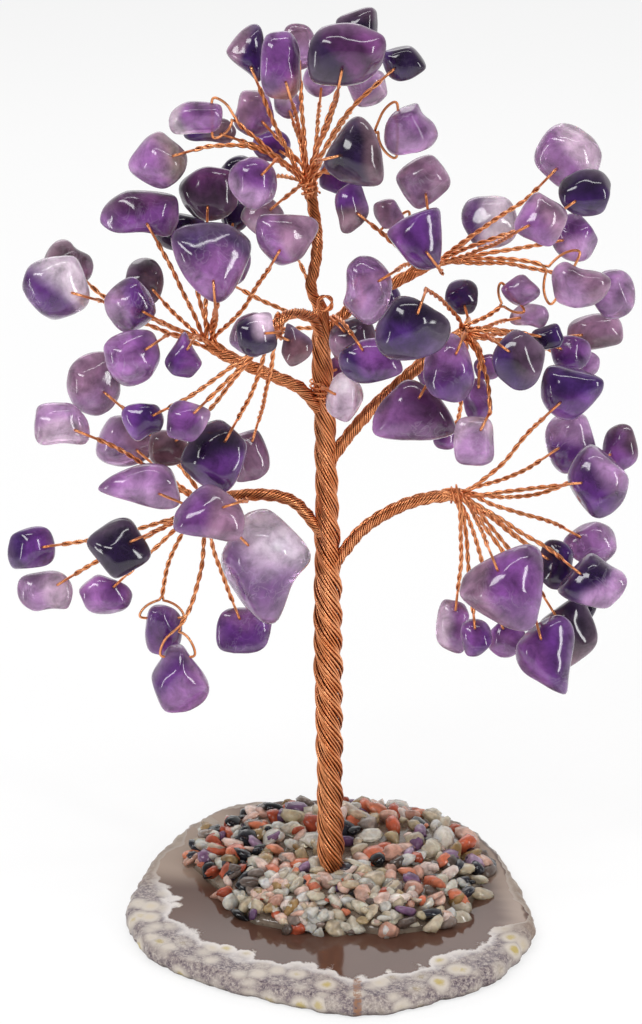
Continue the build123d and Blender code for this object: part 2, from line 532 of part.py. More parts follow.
def top_knot():
    middle = seen(*KNOT_PX)
    pitch = KNOT_PITCH_SHARE * WIRE_DIAMETER
    return winding(middle, Vector(0, 1, 0), Vector(1, 0, 0), KNOT_RADIUS, pitch, KNOT_TURNS, WIRE_DIAMETER)


def hub_binding(branch):
    """The wire wound round the rope's end."""
    before, end = (seen(*row) for row in ROPES_PX[branch][-2:])
    axis = (before - end).normalized()
    across = axis.cross(Vector(0, 1, 0)).normalized()
    radius = rope_radius(branch) + WIRE_DIAMETER
    return winding(end, axis, across, radius, BINDING_PITCH, HUB_BINDINGS[branch], WIRE_DIAMETER / 2)


def rope(branch):
    points = [seen(*row) for row in ROPES_PX[branch]]
    return stem_tube(points, rope_radius(branch))


def stem(stone):
    """The twisted pair from the hub to the stone's bail."""
    if stone.branch == "trunk":
        points = [seen(*row) for row in stone.way] + [stone.mouth]
    else:
        points = [hub_of(stone.branch)] + [seen(*row) for row in stone.way] + [stone.mouth]
        toward = (points[1] - points[0]).normalized()
        points[0] = points[0] + toward * rope_radius(stone.branch) * STEM_ROOT_SHARE
    if len(points) == 2:
        return sweep(Plane(origin=points[0], z_dir=points[1] - points[0]) * Circle(STEM_RADIUS),
                     path=Line(*points))
    return stem_tube(points, STEM_RADIUS)


def write(name, solids):
    """One node: its solids as one compound, or the only solid itself."""
    shape = solids[0] if len(solids) == 1 else Compound(children=[s.solid() for s in solids])
    export_step(shape, f"parts/{name}.step")


def main():
    """Write every node."""
    os.makedirs("parts", exist_ok=True)
    write("agate_slice", [agate_slice()])
    write("glue_bed", [glue_bed()])
    chips = {}
    for number in range(CHIP_COUNT):
        mineral = CHIP_MINERALS[number * 5 % len(CHIP_MINERALS)]
        chips.setdefault(mineral, []).append(chip(number))
    for mineral, grains in chips.items():
        write(f"chips_{mineral}", grains)
    write("trunk_bundle", [trunk_bundle()])
    write("trunk_binding", [trunk_binding()])
    write("top_knot", [top_knot()])
    nodes = {}
    for number, name in enumerate(STONES):
        stone = Stone(number, name)
        nodes.setdefault(stone.node(), []).append(stone.body() - stone.hole())
        nodes.setdefault(f"{stone.branch}_wires", []).extend([stem(stone), stone.bail()])
    for branch in ROPES_PX:
        nodes[f"{branch}_rope"] = [rope(branch)]
    for branch in HUB_BINDINGS:
        nodes[f"{branch}_binding"] = [hub_binding(branch)]
    print("least gap between the turns of a binding", round(BINDING_PITCH - WIRE_DIAMETER, 3), "mm")
    for name, solids in nodes.items():
        write(name, solids)


main()
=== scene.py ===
"""Looks of a gemstone tree: tumbled amethyst on twisted copper wire over a polished agate slice."""
import json
import math

import bpy
import numpy as np
from bpy.props import FloatProperty, FloatVectorProperty, IntProperty, PointerProperty
from mathutils import Matrix


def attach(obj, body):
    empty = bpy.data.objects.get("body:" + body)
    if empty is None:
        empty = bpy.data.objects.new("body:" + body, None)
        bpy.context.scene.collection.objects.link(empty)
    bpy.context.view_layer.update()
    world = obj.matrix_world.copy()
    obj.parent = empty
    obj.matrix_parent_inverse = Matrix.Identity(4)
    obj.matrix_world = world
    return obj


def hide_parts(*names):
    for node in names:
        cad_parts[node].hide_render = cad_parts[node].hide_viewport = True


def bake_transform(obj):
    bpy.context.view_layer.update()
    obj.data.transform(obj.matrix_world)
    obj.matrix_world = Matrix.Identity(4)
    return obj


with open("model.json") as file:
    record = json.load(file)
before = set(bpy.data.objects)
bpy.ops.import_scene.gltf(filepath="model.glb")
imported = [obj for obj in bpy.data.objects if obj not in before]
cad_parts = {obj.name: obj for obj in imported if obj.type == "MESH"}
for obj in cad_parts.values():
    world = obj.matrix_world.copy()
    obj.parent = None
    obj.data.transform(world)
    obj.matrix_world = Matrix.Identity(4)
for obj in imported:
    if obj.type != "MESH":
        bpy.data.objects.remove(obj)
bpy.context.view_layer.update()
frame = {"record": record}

bl_info = {
    "name": "Gemstone tree",
    "version": (1, 0, 0),
    "blender": (4, 5, 0),
    "location": "3D View > Sidebar > Gemstone tree",
    "description": "Tumbled stones on twisted wire, growing from a heap of chips on an agate slice",
    "category": "Add Mesh",
}

MM = 0.001
# The photograph's eye, in pixels of 1/909 of the tree's height
TREE_HEIGHT = 0.172
PIXEL = TREE_HEIGHT / 909
VIEW_CENTRE_PX = (321.0, 512.0)
PICTURE_PX = (642.0, 1024.0)
FOCAL_PX = 3188.0
EYE_PX = (-10.0, -2865.0, 1502.0)
EYE_PITCH = math.radians(20.6)  # below level
GOLDEN_TURN = 137.508  # degrees
FULL_TURN = 2 * math.pi

# Wire work
WIRE = 0.4 * MM  # diameter
STEM_WIRE_SHARE = 0.61  # a stem's wire shows so thick that its two strands touch
# Cosine from which a side of a wire counts as in the gap to its neighbour, where the copper is painted dark
# as shade
STEM_GAP_FROM = 0.3
ROPE_GAP_FROM = -0.7
ROPE_STEP = 0.6 * MM  # between the rings of the mesh of a wire
TRUNK_STEP = 0.4 * MM
STEM_STEP = 0.3 * MM
BAIL_STEP = 0.22 * MM
STRAND_SIDES = 12
STRAND_WANDER = 0.02  # radians
STRAND_SPACING_SHARE = 0.72  # of a wire, between the strands of a rope
STRAND_OVERLAP = 1.02  # a strand shows so much thicker than it must be to touch the next
ROPE_WAVER = (0.03, 17)  # of its radius, and radians along its length
CORE_SHARES = (0.92, 1.5)  # of a rope's radius, less so many of its swells
ROPE_INSIDE = (0.1, 24)  # a rope starts so near the trunk's middle, and so many pixels below its root
STEM_ROOT_MM = 3.2  # inside the rope
STEM_SPREAD_SHARES = (0.8, 1.1)  # of the rope's radius at a stem's root, and of that at the hub
STEM_BENDS = 9 * MM  # size of the slow bends in a stem
STEM_DRIFT_MM = 0.16  # how far it bends off its way
STEM_PITCH_SHARES = (0.85, 1.2)  # least and most, of the set twist
STRANDS_APART = (1.02, 0.9)  # of a wire's radius: along the stem, and more where the strands part
BAIL_OPENING = 0.9 * MM  # the last of a stem, where its strands part
WIRE_OFF_STONE = 0.35 * MM
BAIL_REACH_SHARE = 0.22
# One side of a bail, from its mouth to past the hole: shares of its length and of its half width
BAIL_LEGS = ((0.93, 0.32), (0.74, 0.66), (0.42, 0.93), (0.1, 1.04), (0.0, 0.8))
HOLE_INSET_SHARE = 0.5
ROPE_PACKING = 0.8
ROPE_LOBES = (3, 0.09)  # how many, and how far they swell
TRUNK_LOBES = (4, 0.12)
BINDING_TURNS = 4
BINDING_PITCH = 0.9 * MM
BINDING_POINTS = 24  # in each turn
HUB_POINTS = 28
KNOT_RADIUS = 1.25 * MM
KNOT_TURNS = 1.25
KNOT_POINTS = 40
KNOT_PITCH_WIRES = 2.2
TRUNK_FOOT = 0.3 * MM  # above the slice
SLICE_THICKNESS = 3.8 * MM
SLICE_AROUND = 420  # points
SLICE_VALUES = ("border", "pale", "rust", "skin", "thin")  # what its mesh holds at each point
RUST_X = 4.6 * MM
# Round edge of the slice, from its face to its underside: how far inside the rim and how high, in mm
SLICE_EDGE = [(1.5, 3.76), (1.0, 3.58), (0.6, 3.25), (0.3, 2.8), (0.1, 2.2), (0.05, 1.6), (0.2, 1.0),
              (0.5, 0.5), (0.9, 0.2), (1.4, 0.03), (1.9, 0.0)]
HEAP_HEIGHT = 4.2 * MM
HEAP_POWERS = (4, 0.7)
GLUE_GRID = (24, 96)  # rings, points round each
GLUE_SUNK = 0.3 * MM  # into the slice
GLUE_SHARES = (0.94, 0.9)  # of the heap's reach and height, so that chips cover it
CHIP_SEAT_SHARE = 0.2
GRAIN_GRID = (7, 10)  # rings, points round each
GRAIN_LENGTHS = (1.15, (0.7, 1.0), (0.5, 0.8))  # of its size: first axis, least and most of the others
GRAIN_TILT = (0.7, 0.7, 3.1)  # radians, at most

# Trunk: pixel of its middle line and its width there
TRUNK_PX = [
    (331, 848, 27), (330, 790, 25), (329, 700, 27), (328, 640, 28), (328, 575, 26),
    (327, 500, 22), (326, 440, 21), (323, 385, 20), (321, 340, 18), (321, 310, 14),
]
TRUNK_TOP_PX = (319, 301)
BINDING_PX = (323, 399)
HUB_BINDINGS = {"crown": 3, "right_lower": 2}  # branches whose rope is wound at its end, and the turns
KNOT_PX = (325, 304, -13.5)

# Each branch: how many wires its rope holds, and the rope's way from the trunk to its hub
ROPE_WIRES = {
    "crown": 22, "left_upper": 28, "left_inner": 18, "left_lower": 26,
    "right_upper": 24, "right_middle": 28, "right_lower": 28, "back": 16,
}
ROPES_PX = {
    "crown": [(318, 303, 0), (309, 288, -2), (316, 264, 0), (318, 236, 0), (313, 205, 0), (308, 180, 0)],
    "left_upper": [(303, 388, -8), (278, 378, -10), (252, 367, -8), (230, 358, -8), (208, 343, -10)],
    "left_inner": [(316, 318, -13), (300, 312, -40), (282, 316, -60), (275, 330, -68)],
    "left_lower": [(307, 514, -4), (294, 500, -12), (270, 494, -18), (238, 495, -22), (206, 502, -22)],
    "right_upper": [(337, 320, 4), (352, 307, 12), (378, 291, 14), (404, 278, 12), (430, 264, 10)],
    "right_middle": [(345, 440, -2), (358, 424, -6), (376, 404, -8), (400, 383, -10),
        (430, 356, -22), (466, 332, -40)],
    "right_lower": [(349, 545, -2), (359, 532, -6), (380, 516, -12), (416, 499, -18), (460, 494, -20)],
    "back": [(323, 352, 14), (324, 338, 50), (326, 330, 90), (326, 326, 118)],
}

# Outlines of tumbled stones, as shares of the box round them, pointing to the right
OUTLINE_SHARES = {
    "egg": [(.5, .02), (.36, .38), (0, .5), (-.38, .4), (-.5, 0), (-.36, -.4), (.02, -.5), (.38, -.36)],
    "block": [(.5, .2), (.34, .48), (-.3, .46), (-.5, .18), (-.46, -.3), (-.22, -.5), (.3, -.44),
        (.5, -.16)],
    "bar": [(.5, .06), (.4, .42), (0, .5), (-.4, .42), (-.5, -.05), (-.38, -.44), (.05, -.42),
        (.4, -.46)],
    "lens": [(.5, .05), (.22, .38), (-.1, .5), (-.38, .3), (-.5, -.05), (-.2, -.42), (.12, -.5),
        (.4, -.25)],
    "wedge": [(.5, 0), (.15, .3), (-.26, .5), (-.48, .24), (-.48, -.2), (-.22, -.5), (.2, -.32)],
    "drop": [(.5, 0), (.2, .24), (-.15, .48), (-.42, .36), (-.5, 0), (-.4, -.4), (-.12, -.5),
        (.22, -.22)],
    "kite": [(.5, .06), (.2, .34), (-.05, .5), (-.32, .24), (-.5, -.08), (-.22, -.36), (.08, -.5),
        (.34, -.26)],
    "bean": [(.5, .2), (.3, .5), (-.1, .42), (-.4, .46), (-.5, .05), (-.3, -.4), (.05, -.5), (.4, -.3)],
    "heel": [(.5, -.26), (.36, .12), (.12, .44), (-.16, .5), (-.38, .14), (-.5, -.26), (-.3, -.5),
        (.34, -.48)],
    "fang": [(.38, .46), (.02, .4), (-.4, .18), (-.5, 0), (-.24, -.2), (.1, -.36), (.36, -.5),
        (.48, -.3), (.5, .1)],
}
ROUND_POWER = 2.3  # of the curve from a stone's face over its edge
THICKNESS_SHARES = (0.62, 0.74)  # least and most, of a stone's smaller size
LEAN_SHARE = 0.2  # how far the two faces of a stone stand out of line
# Flat cuts that tumbling leaves: how many, and least and most of the way out that they are
STONE_CUTS = (11, (0.76, 0.98))
GRAIN_CUTS = (8, (0.45, 0.8))
# Dents over a stone: seed, share of its size that they are deep, and how wide
STONE_DENTS = ((0, 0.022, 0.7), (40, 0.008, 0.28))

# Stones, under their branch: name, tone, middle (x, y, depth), box, outline and its turn in degrees |
# the points of the stem's way from the hub | the look: finish, second finish, the second's direction
# in degrees in the picture, its share of the stone, and how clear the stone is
STONE_ROWS = """
crown
a lilac 245 53 12 38 58 fang 0 | 276 128 6 | mauve indigo -5 .45 .2
b violet 281 66 -45 40 68 bar 90 | 300 130 -14 | purple rust 285 .22 .2
c lilac 299 48 28 34 50 egg 0 | 302 120 10 | lilac mauve 90 .4 .4
d dark 345 55 -62 80 60 block 0 | 334 110 -38 | ink plum 20 .5 0
e dark 358 28 18 44 42 wedge 50 | 334 100 6 | ink grey 100 .3 0
f dark 402 62 -8 50 38 lens -15 | 345 112 -4 | ink indigo 200 .4 0
g lilac 368 88 62 40 36 kite -40 | 338 128 22 | lilac pale -20 .4 .4
h lilac 322 78 86 38 40 egg 0 | 318 125 34 | lilac orchid 90 .5 .3
i lilac 287 104 60 26 32 egg 0 | 300 140 24 | lilac pale 90 .4 .4
j lilac 254 113 44 44 46 egg 0 | 285 146 20 | orchid mauve 150 .5 .2
j2 violet 272 146 90 38 32 egg 20 | 294 160 40 | violet plum 270 .4 .1
k violet 197 118 -22 58 34 bar 0 | 258 140 -8 | orchid clear 190 .3 .45
l dark 208 130 26 58 26 bar -4 | 270 150 8 | indigo smoky 0 .4 .1
m violet 159 160 -16 62 63 kite 0 | 250 143 -20 208 146 -20 | orchid olive 15 .42 .25
o lilac 253 184 -42 51 52 egg 30 | 276 160 -26 | purple lilac 240 .5 .3
p lilac 262 217 22 47 42 egg 40 | 296 188 12 | mauve pale 300 .5 .3
ab dark 354 152 -48 59 69 heel -12 | 322 160 -20 | ink smoky 10 .42 .05
ac lilac 411 130 -10 55 58 bean -50 | 350 156 4 | lilac orchid 90 .5 .4
hb violet 340 176 84 46 42 egg 60 | 322 172 34 | violet purple 40 .5 .2
hc dark 240 176 96 44 40 egg 15 | 278 176 44 | indigo ink 90 .5 0
left_upper
n dark 208 192 16 60 56 lens 45 | 206 262 16 | grey plum 60 .4 0
q dark 234 216 52 30 32 egg 0 | 224 276 24 | ink indigo 0 .4 0
r lilac 286 240 -36 63 53 wedge 28 | 236 318 -22 262 280 -32 | mauve orchid 200 .4 .25
s violet 141 213 -8 86 45 bar -5 | 184 290 -6 | purple plum 100 .4 .15
t dark 182 232 52 54 38 egg 0 | 196 286 24 | ink indigo 0 .3 0
u violet 212 262 -46 80 76 heel 180 | 216 318 -20 | indigo orchid 250 .62 .15
v lilac 68 264 34 52 52 bean -40 | 150 318 8 104 298 22 | mauve smoky 90 .5 .2
w violet 55 288 -18 70 69 block 20 | 150 328 8 104 302 -6 | clear violet 210 .55 .6
x dark 145 281 24 40 48 lens 120 | 178 318 6 | grey smoky 0 .4 .1
y lilac 131 305 -28 52 56 egg -60 | 176 330 -14 | lilac violet -10 .5 .35
bb violet 133 358 -66 58 58 block 12 | 172 332 -44 | purple orchid 200 .45 .3
cc violet 183 356 -66 39 48 drop 84 | 196 336 -34 | violet purple 0 .4 .2
ha violet 226 262 66 48 46 egg 70 | 218 306 24 | purple orchid 90 .5 .2
left_inner
z dark 256 334 -122 42 48 kite -35 | 270 333 -92 | ink pale 60 .2 0
aa dark 295 343 -108 32 47 drop 110 | 283 338 -86 | grey brown 270 .5 .1
gg violet 144 420 -74 44 42 bar 24 | 236 364 -74 192 396 -76 | violet indigo 0 .4 .1
hh violet 186 421 -108 45 44 block -20 | 242 366 -90 | purple lilac 0 .3 .2
ii dark 168 448 -26 42 36 egg 0 | 240 372 -56 206 414 -44 | smoky brown 270 .5 .1
jj dark 217 456 -72 70 72 block 50 | 256 386 -74 | ink violet 320 .4 0
kk lilac 248 456 -24 44 62 lens 68 | 268 388 -50 | mauve plum 60 .3 .15
left_lower
dd lilac 93 383 -18 55 70 egg -60 | 184 470 8 142 424 4 | mauve lilac 270 .5 .3
ee lilac 60 424 -60 63 43 bar 4 | 166 484 -34 124 450 -54 | lilac pale 250 .5 .4
ff lilac 125 440 28 60 54 lens -60 | 176 484 4 | lilac mauve 20 .4 .4
ll lilac 140 486 -66 87 48 wedge 184 | 194 508 -48 | lilac orchid 150 .5 .3
mm lilac 208 512 -120 74 57 wedge 200 | 246 500 -56 | purple mauve 0 .5 .2
nn lilac 265 563 -62 94 118 bar 58 | 226 522 -38 | clear purple 250 .55 .5
oo violet 244 630 -10 56 44 block -5 | 212 550 -16 | violet orchid 90 .3 .25
pp dark 118 547 -74 65 64 kite -20 | 172 524 -50 | ink ink 250 .3 0
qq violet 30 549 -30 51 45 block 8 | 150 526 -20 92 540 -24 | violet indigo 180 .4 .1
rr lilac 46 592 -20 54 40 bar 10 | 160 532 0 98 560 -12 | lilac pale 0 .5 .4
ss violet 105 595 -14 55 41 lens 22 | 164 540 6 | purple orchid 200 .5 .3
tt violet 162 630 -26 40 52 lens -58 | 170 548 -20 | violet purple 270 .5 .15
uu violet 178 675 -76 61 78 drop 90 | 204 560 -44 192 606 -66 | violet orchid 300 .5 .25
right_upper
ad lilac 424 181 16 51 52 block 30 | 430 226 8 | mauve lilac 240 .5 .25
ae dark 350 207 -24 38 54 bar -62 | 402 250 -6 | violet smoky 290 .45 .1
af lilac 389 214 36 34 30 lens -30 | 410 244 22 | mauve lilac 0 .5 .3
ag violet 415 237 -46 58 67 wedge 62 | 428 254 -14 | violet purple 200 .5 .2
ah violet 489 222 48 55 51 lens -42 | 462 246 26 | clear violet 180 .5 .6
ai lilac 568 157 8 68 70 egg -40 | 476 232 4 524 202 4 | orchid pale 30 .5 .45
aj dark 587 193 -42 57 48 egg 0 | 486 240 -22 540 226 -34 | ink indigo 270 .4 0
ak lilac 541 219 -92 54 54 kite 10 | 490 246 -40 | orchid mauve 40 .45 .3
al violet 575 238 22 50 50 egg 50 | 500 252 6 | purple lilac 270 .4 .25
am lilac 367 288 -62 53 73 bean 78 | 404 266 -22 | lilac orchid 80 .5 .35
ap lilac 580 286 -34 61 47 bean -20 | 488 256 -10 536 262 -24 | mauve lilac 200 .5 .3
aq lilac 613 294 16 44 51 egg 90 | 500 262 10 552 272 12 | lilac orchid 180 .5 .4
right_middle
ar lilac 530 316 32 40 24 bar -10 | 498 322 6 | pale lilac 0 .5 .4
ao violet 520 291 -2 42 34 kite -10 | 492 314 -18 | orchid lilac 0 .5 .35
as dark 462 297 22 34 36 lens -50 | 468 318 -4 | indigo ink 0 .5 0
at lilac 597 333 62 58 38 block -5 | 506 334 0 556 338 36 | smoky mauve 90 .5 .1
an dark 412 330 -130 74 64 egg -12 | 450 306 -60 426 290 -104 | ink indigo 250 .35 0
az violet 449 370 -88 57 71 egg -60 | 462 340 -68 | violet orchid 100 .4 .2
ba violet 478 400 -52 31 50 lens 65 | 480 352 -50 | orchid purple 270 .5 .25
bc_clear lilac 475 441 -98 41 50 block 84 | 488 372 -72 490 412 -104 | lilac pale 90 .4 .5
bc violet 446 438 -4 26 24 egg 0 | 464 386 -22 458 420 -8 | purple orchid 0 .5 .25
ay violet 412 410 -46 88 58 heel 0 | 440 362 -56 | orchid plum 20 .5 .15
bd dark 520 359 -84 56 64 egg -45 | 490 338 -52 | indigo grey 30 .5 0
be dark 549 338 -36 34 30 kite -30 | 506 330 -36 | ink indigo 0 .4 0
bf violet 571 353 4 42 38 block 10 | 520 332 -16 | purple violet 270 .5 .15
bh violet 589 363 30 22 26 egg 0 | 530 344 10 | orchid lilac 0 .5 .3
bi violet 487 368 -22 26 28 lens 60 | 478 346 -30 | violet orchid 0 .5 .2
hd dark 440 374 44 46 48 egg 35 | 456 346 2 | purple orchid 90 .5 .2
right_lower
bg dark 571 393 -48 69 57 wedge 22 | 498 468 -26 530 430 -36 | indigo violet 270 .5 .05
bj lilac 571 440 18 52 68 lens 62 | 520 474 0 | lilac violet 250 .45 .45
bk violet 597 481 -44 61 74 egg 62 | 520 490 -34 | violet lilac 60 .3 .35
bl violet 619 448 22 38 50 lens 62 | 520 500 6 570 484 24 | purple smoky 60 .4 .2
bm lilac 592 543 34 58 46 egg -38 | 500 508 -4 552 522 20 | orchid lilac 20 .5 .35
bn dark 592 583 -52 77 61 kite 0 | 500 520 -30 548 548 -44 | indigo lilac -20 .45 .3
bo dark 556 565 -12 36 50 bar 88 | 496 522 -2 | ink indigo 0 .5 0
bp lilac 504 586 -108 85 85 heel -36 | 478 522 -62 | purple mauve 200 .5 .25
bq dark 566 632 -4 61 80 bar -58 | 494 530 -10 532 578 -16 | ink smoky 265 .5 .1
br violet 546 658 -70 57 87 drop -66 | 486 526 -34 528 590 -56 | violet purple 200 .5 .15
bs lilac 476 638 -62 33 38 egg 0 | 466 540 -34 | violet purple 180 .5 .2
bt lilac 454 624 -22 34 56 bar 78 | 462 552 -20 | pale orchid 0 .5 .45
bu violet 506 638 -14 40 42 egg -40 | 478 548 -12 | orchid purple 90 .5 .2
bv dark 584 606 44 26 30 egg 0 | 508 528 10 556 570 30 | indigo ink 0 .5 0
back
he violet 288 238 150 40 46 egg 0 | 312 288 136 | purple lilac 90 .5 .3
hf dark 376 296 150 48 46 block 30 | 350 312 140 | ink indigo 0 .5 0
hg violet 214 276 150 50 46 egg 60 | 274 306 140 | orchid lilac 60 .5 .3
hh2 violet 424 330 128 50 46 egg -30 | 376 332 128 | violet orchid 90 .5 .2
hi dark 352 352 160 40 44 bean 0 | 336 336 148 | indigo grey 0 .5 0
hj violet 252 334 160 44 46 block 60 | 290 328 150 | purple mauve 90 .5 .2
trunk
av dark 370 361 -72 69 46 lens -28 | 334 316 -13 342 320 -54 352 334 -76 | indigo purple 30 .45 .05
au violet 353 340 -32 53 48 block 20 | 331 318 -12 | mauve grey 90 .5 .1
aw lilac 344 399 -36 40 52 egg 60 | 331 392 -14 | pale clear 100 .5 .5
ax violet 343 367 30 30 24 egg 0 | 330 372 16 | orchid lilac 0 .5 .3
"""
# Stones whose hole runs across their stem instead of front to back, in bails that stand open
CROSSWISE = ("k", "ac", "af", "ao", "ap", "tt", "uu")
# Stones that turn in their bails, each a piece by itself, and the side that the bail is on
LOOSE = {
    "k": ("crown_loop_stone_left", (1, 0)),
    "ac": ("crown_loop_stone_right", (-1, 0)),
    "tt": ("hanging_stone_small", (0, 1)),
    "uu": ("hanging_stone_large", (0, 1)),
}

# The slice's polished face and the heap, outlined in pixels
SLICE_PX = [
    (535, 925), (530, 900), (513, 868), (487, 836), (452, 815), (408, 802), (340, 797), (268, 798),
    (222, 805), (186, 824), (160, 846), (144, 866), (128, 894), (124, 913), (142, 940), (180, 962),
    (228, 978), (290, 992), (338, 1000), (386, 1000), (440, 988), (486, 974), (517, 952),
]
HEAP_PX = [
    (492, 880), (484, 850), (455, 828), (415, 814), (345, 806), (272, 808), (226, 822), (196, 842),
    (184, 866), (206, 886), (230, 904), (246, 926), (290, 934), (345, 933), (392, 939),
    (440, 932), (480, 908),
]
CHIP_COUNT = 150
CHIP_REACH_SHARE = 0.96  # of the way to the heap's rim
CHIP_MINERALS = (
    "clear_quartz", "rose_quartz", "carnelian", "clear_quartz", "tourmaline", "citrine",
    "clear_quartz", "amethyst", "carnelian", "smoky", "clear_quartz", "rose_quartz",
)
CHIP_SIZE_SHARES = (0.58, 0.86)  # of the room that each has
CHIP_GROWTH = 1.5  # chips show so much larger than their solids, to lie close
CHIP_FIRST = 7  # room left round the trunk's foot, in chips
CRUMB_MM = (2.4, 5.2)
FRONT_CRUMBS = ("clear_quartz",) * 7 + ("citrine", "rose_quartz", "rose_quartz", "smoky", "carnelian")
BACK_CRUMBS = ("carnelian",) * 3 + ("rose_quartz",) * 3 + ("clear_quartz",) * 3 + (
    "smoky", "smoky", "tourmaline", "amethyst", "citrine")
GRIT_LOOKS = {"clear_quartz": "glassy", "citrine": "glassy", "rose_quartz": "milky", "smoky": "milky"}

# Finishes of tumbled amethyst
FINISHES = {
    "ink": "#1e0f2e", "indigo": "#341a50", "plum": "#562c58", "violet": "#5a2d74", "purple": "#703f80",
    "orchid": "#8e5c98", "lilac": "#a981ae", "mauve": "#8f6a86", "pale": "#cdb2c8", "clear": "#e2d2de",
    "smoky": "#654c58", "olive": "#84706c", "brown": "#64424a", "rust": "#844a3a", "grey": "#483348",
}
# Minerals of the chips: middle, darker and lighter colour
MINERALS = {
    "clear_quartz": ("#efe2cc", "#d8c4a4", "#fbf6ee"), "rose_quartz": ("#e0b6a4", "#c69582", "#f2dcd2"),
    "carnelian": ("#b5563a", "#97402a", "#cf8362"), "tourmaline": ("#17161b", "#0d0d10", "#2a2a33"),
    "citrine": ("#cdb184", "#b08b55", "#e2d2ae"), "amethyst": ("#71506f", "#563a5c", "#9a7f98"),
    "smoky": ("#74645c", "#54463f", "#9c8c82"),
}
# How clear each kind of amethyst is, and how clear a stone is at least to be of the second or third
CLARITY = {"dense": 0.0, "cloudy": 0.22, "clear": 0.5}
CLEAR_FROM = (0.12, 0.35)

# Soft lamps: name, place, width and height in metres, and watts
LAMPS = (
    ("key", (-0.35, -0.45, 0.62), (0.42, 0.13), 1.8),
    ("side", (0.5, -0.45, 0.3), (0.08, 0.4), 1.3),
    ("strip", (0.05, -0.2, 0.68), (0.6, 0.04), 0.8),
    ("back", (-0.1, 0.6, 0.5), (0.5, 0.3), 0.8),
    ("fill", (-0.55, -0.35, 0.12), (0.05, 0.3), 0.5),
)


# Shapes: whole arrays, in metres

def stone_rows(text):
    """Each stone's name and its row: branch, tone, middle, box, outline, turn, way and look."""
    rows, branch = {}, ""
    for line in text.split("\n"):
        if "|" not in line:
            branch = line
            continue
        form, way, look = (cell.split() for cell in line.split("|"))
        name, tone, x, y, depth, width, height, outline, turn = form
        steps = [tuple(map(float, way[k:k + 3])) for k in range(0, len(way), 3)]
        middle, box = (float(x), float(y), float(depth)), (float(width), float(height))
        look = (*look[:2], *map(float, look[2:]))
        rows[name] = (branch, tone, middle, box, outline, float(turn), steps, look)
    return rows


STONES = stone_rows(STONE_ROWS)


def unit(vectors):
    """Vectors divided by their lengths."""
    vectors = np.asarray(vectors, float)
    return vectors / np.linalg.norm(vectors, axis=-1, keepdims=True)


def eye():
    """The photograph's eye in the object's frame."""
    return np.array(EYE_PX) * PIXEL


def sight_line(x_px, y_px):
    """Direction from the eye through a pixel: level ahead, plus its shares to the side and up."""
    side, rise = (x_px - VIEW_CENTRE_PX[0]) / FOCAL_PX, (VIEW_CENTRE_PX[1] - y_px) / FOCAL_PX
    cosine, sine = math.cos(EYE_PITCH), math.sin(EYE_PITCH)
    return np.array([side, cosine + rise * sine, rise * cosine - sine])


def seen(x_px, y_px, depth_px=0.0):
    """The point at a pixel on the upright plane at that depth behind the trunk."""
    ray = sight_line(x_px, y_px)
    return eye() + ray * ((depth_px - EYE_PX[1]) * PIXEL / ray[1])


def seen_on_level(x_px, y_px, height):
    """The point at a pixel on the level plane at that height."""
    ray = sight_line(x_px, y_px)
    return eye() + ray * ((height - eye()[2]) / ray[2])


def share_of(number, low, high):
    """A share between low and high that looks unordered, and is always the same for a number."""
    return low + (high - low) * ((number * GOLDEN_TURN / 360 + 0.5) % 1)


def way_along(path):
    """Length of a path from its start to each of its points."""
    return np.concatenate([[0], np.cumsum(np.linalg.norm(np.diff(path, axis=0), axis=1))])


def toward_turn(turn, side, other):
    """Directions at these turns from the side direction to the other."""
    return np.cos(turn)[:, None] * side + np.sin(turn)[:, None] * other


def closed_curve(points, count):
    """Smooth closed curve through points: a periodic cubic spline, whose weights come from dividing
    the points' Fourier terms by those of the spline's own bump (1, 4, 1) / 6."""
    points = np.asarray(points, float)
    n = len(points)
    terms = (4 + 2 * np.cos(2 * np.pi * np.arange(n) / n)) / 6
    weights = np.real(np.fft.ifft(np.fft.fft(points, axis=0) / terms[:, None], axis=0))
    place = np.linspace(0, n, count, endpoint=False)
    whole = place.astype(int)
    f = (place - whole)[:, None]
    bumps = ((1 - f) ** 3, 3 * f ** 3 - 6 * f ** 2 + 4, -3 * f ** 3 + 3 * f ** 2 + 3 * f + 1, f ** 3)
    return sum(weights[(whole + k - 1) % n] * bump / 6 for k, bump in enumerate(bumps))


def way_out(outline, direction, start=(0, 0)):
    """From a point inside an outline to its edge in a direction: the farthest crossing of the ray
    with the outline's sides."""
    one = np.asarray(outline) - np.asarray(start)
    side = np.roll(one, -1, axis=0) - one
    across = direction[0] * side[:, 1] - direction[1] * side[:, 0]
    across = np.where(np.abs(across) < 1e-12, 1e-12, across)
    along = (one[:, 0] * side[:, 1] - one[:, 1] * side[:, 0]) / across
    part = (one[:, 0] * direction[1] - one[:, 1] * direction[0]) / across
    return along[(part >= 0) & (part <= 1) & (along > 0)].max()


def flowing(points, step):
    """Curve through a row of control points: a quadratic spline, which leaves the first point
    straight, passes the middle of each run and rounds each corner, cut into equal steps."""
    points = np.asarray(points, float)
    middles = (points[1:] + points[:-1]) / 2
    t = np.linspace(0, 1, 16)[:, None]
    runs = [points[:1]]
    for one, corner, two in zip(middles, points[1:-1], middles[1:]):
        runs.append(one * (1 - t) ** 2 + corner * 2 * t * (1 - t) + two * t ** 2)
    runs.append(points[-1:])
    path = np.concatenate(runs)
    way = way_along(path)
    keep = np.concatenate([[True], np.diff(way) > 1e-9])
    places = np.linspace(0, way[-1], max(3, round(way[-1] / step) + 1))
    return np.stack([np.interp(places, way[keep], path[keep, k]) for k in range(3)], axis=1)


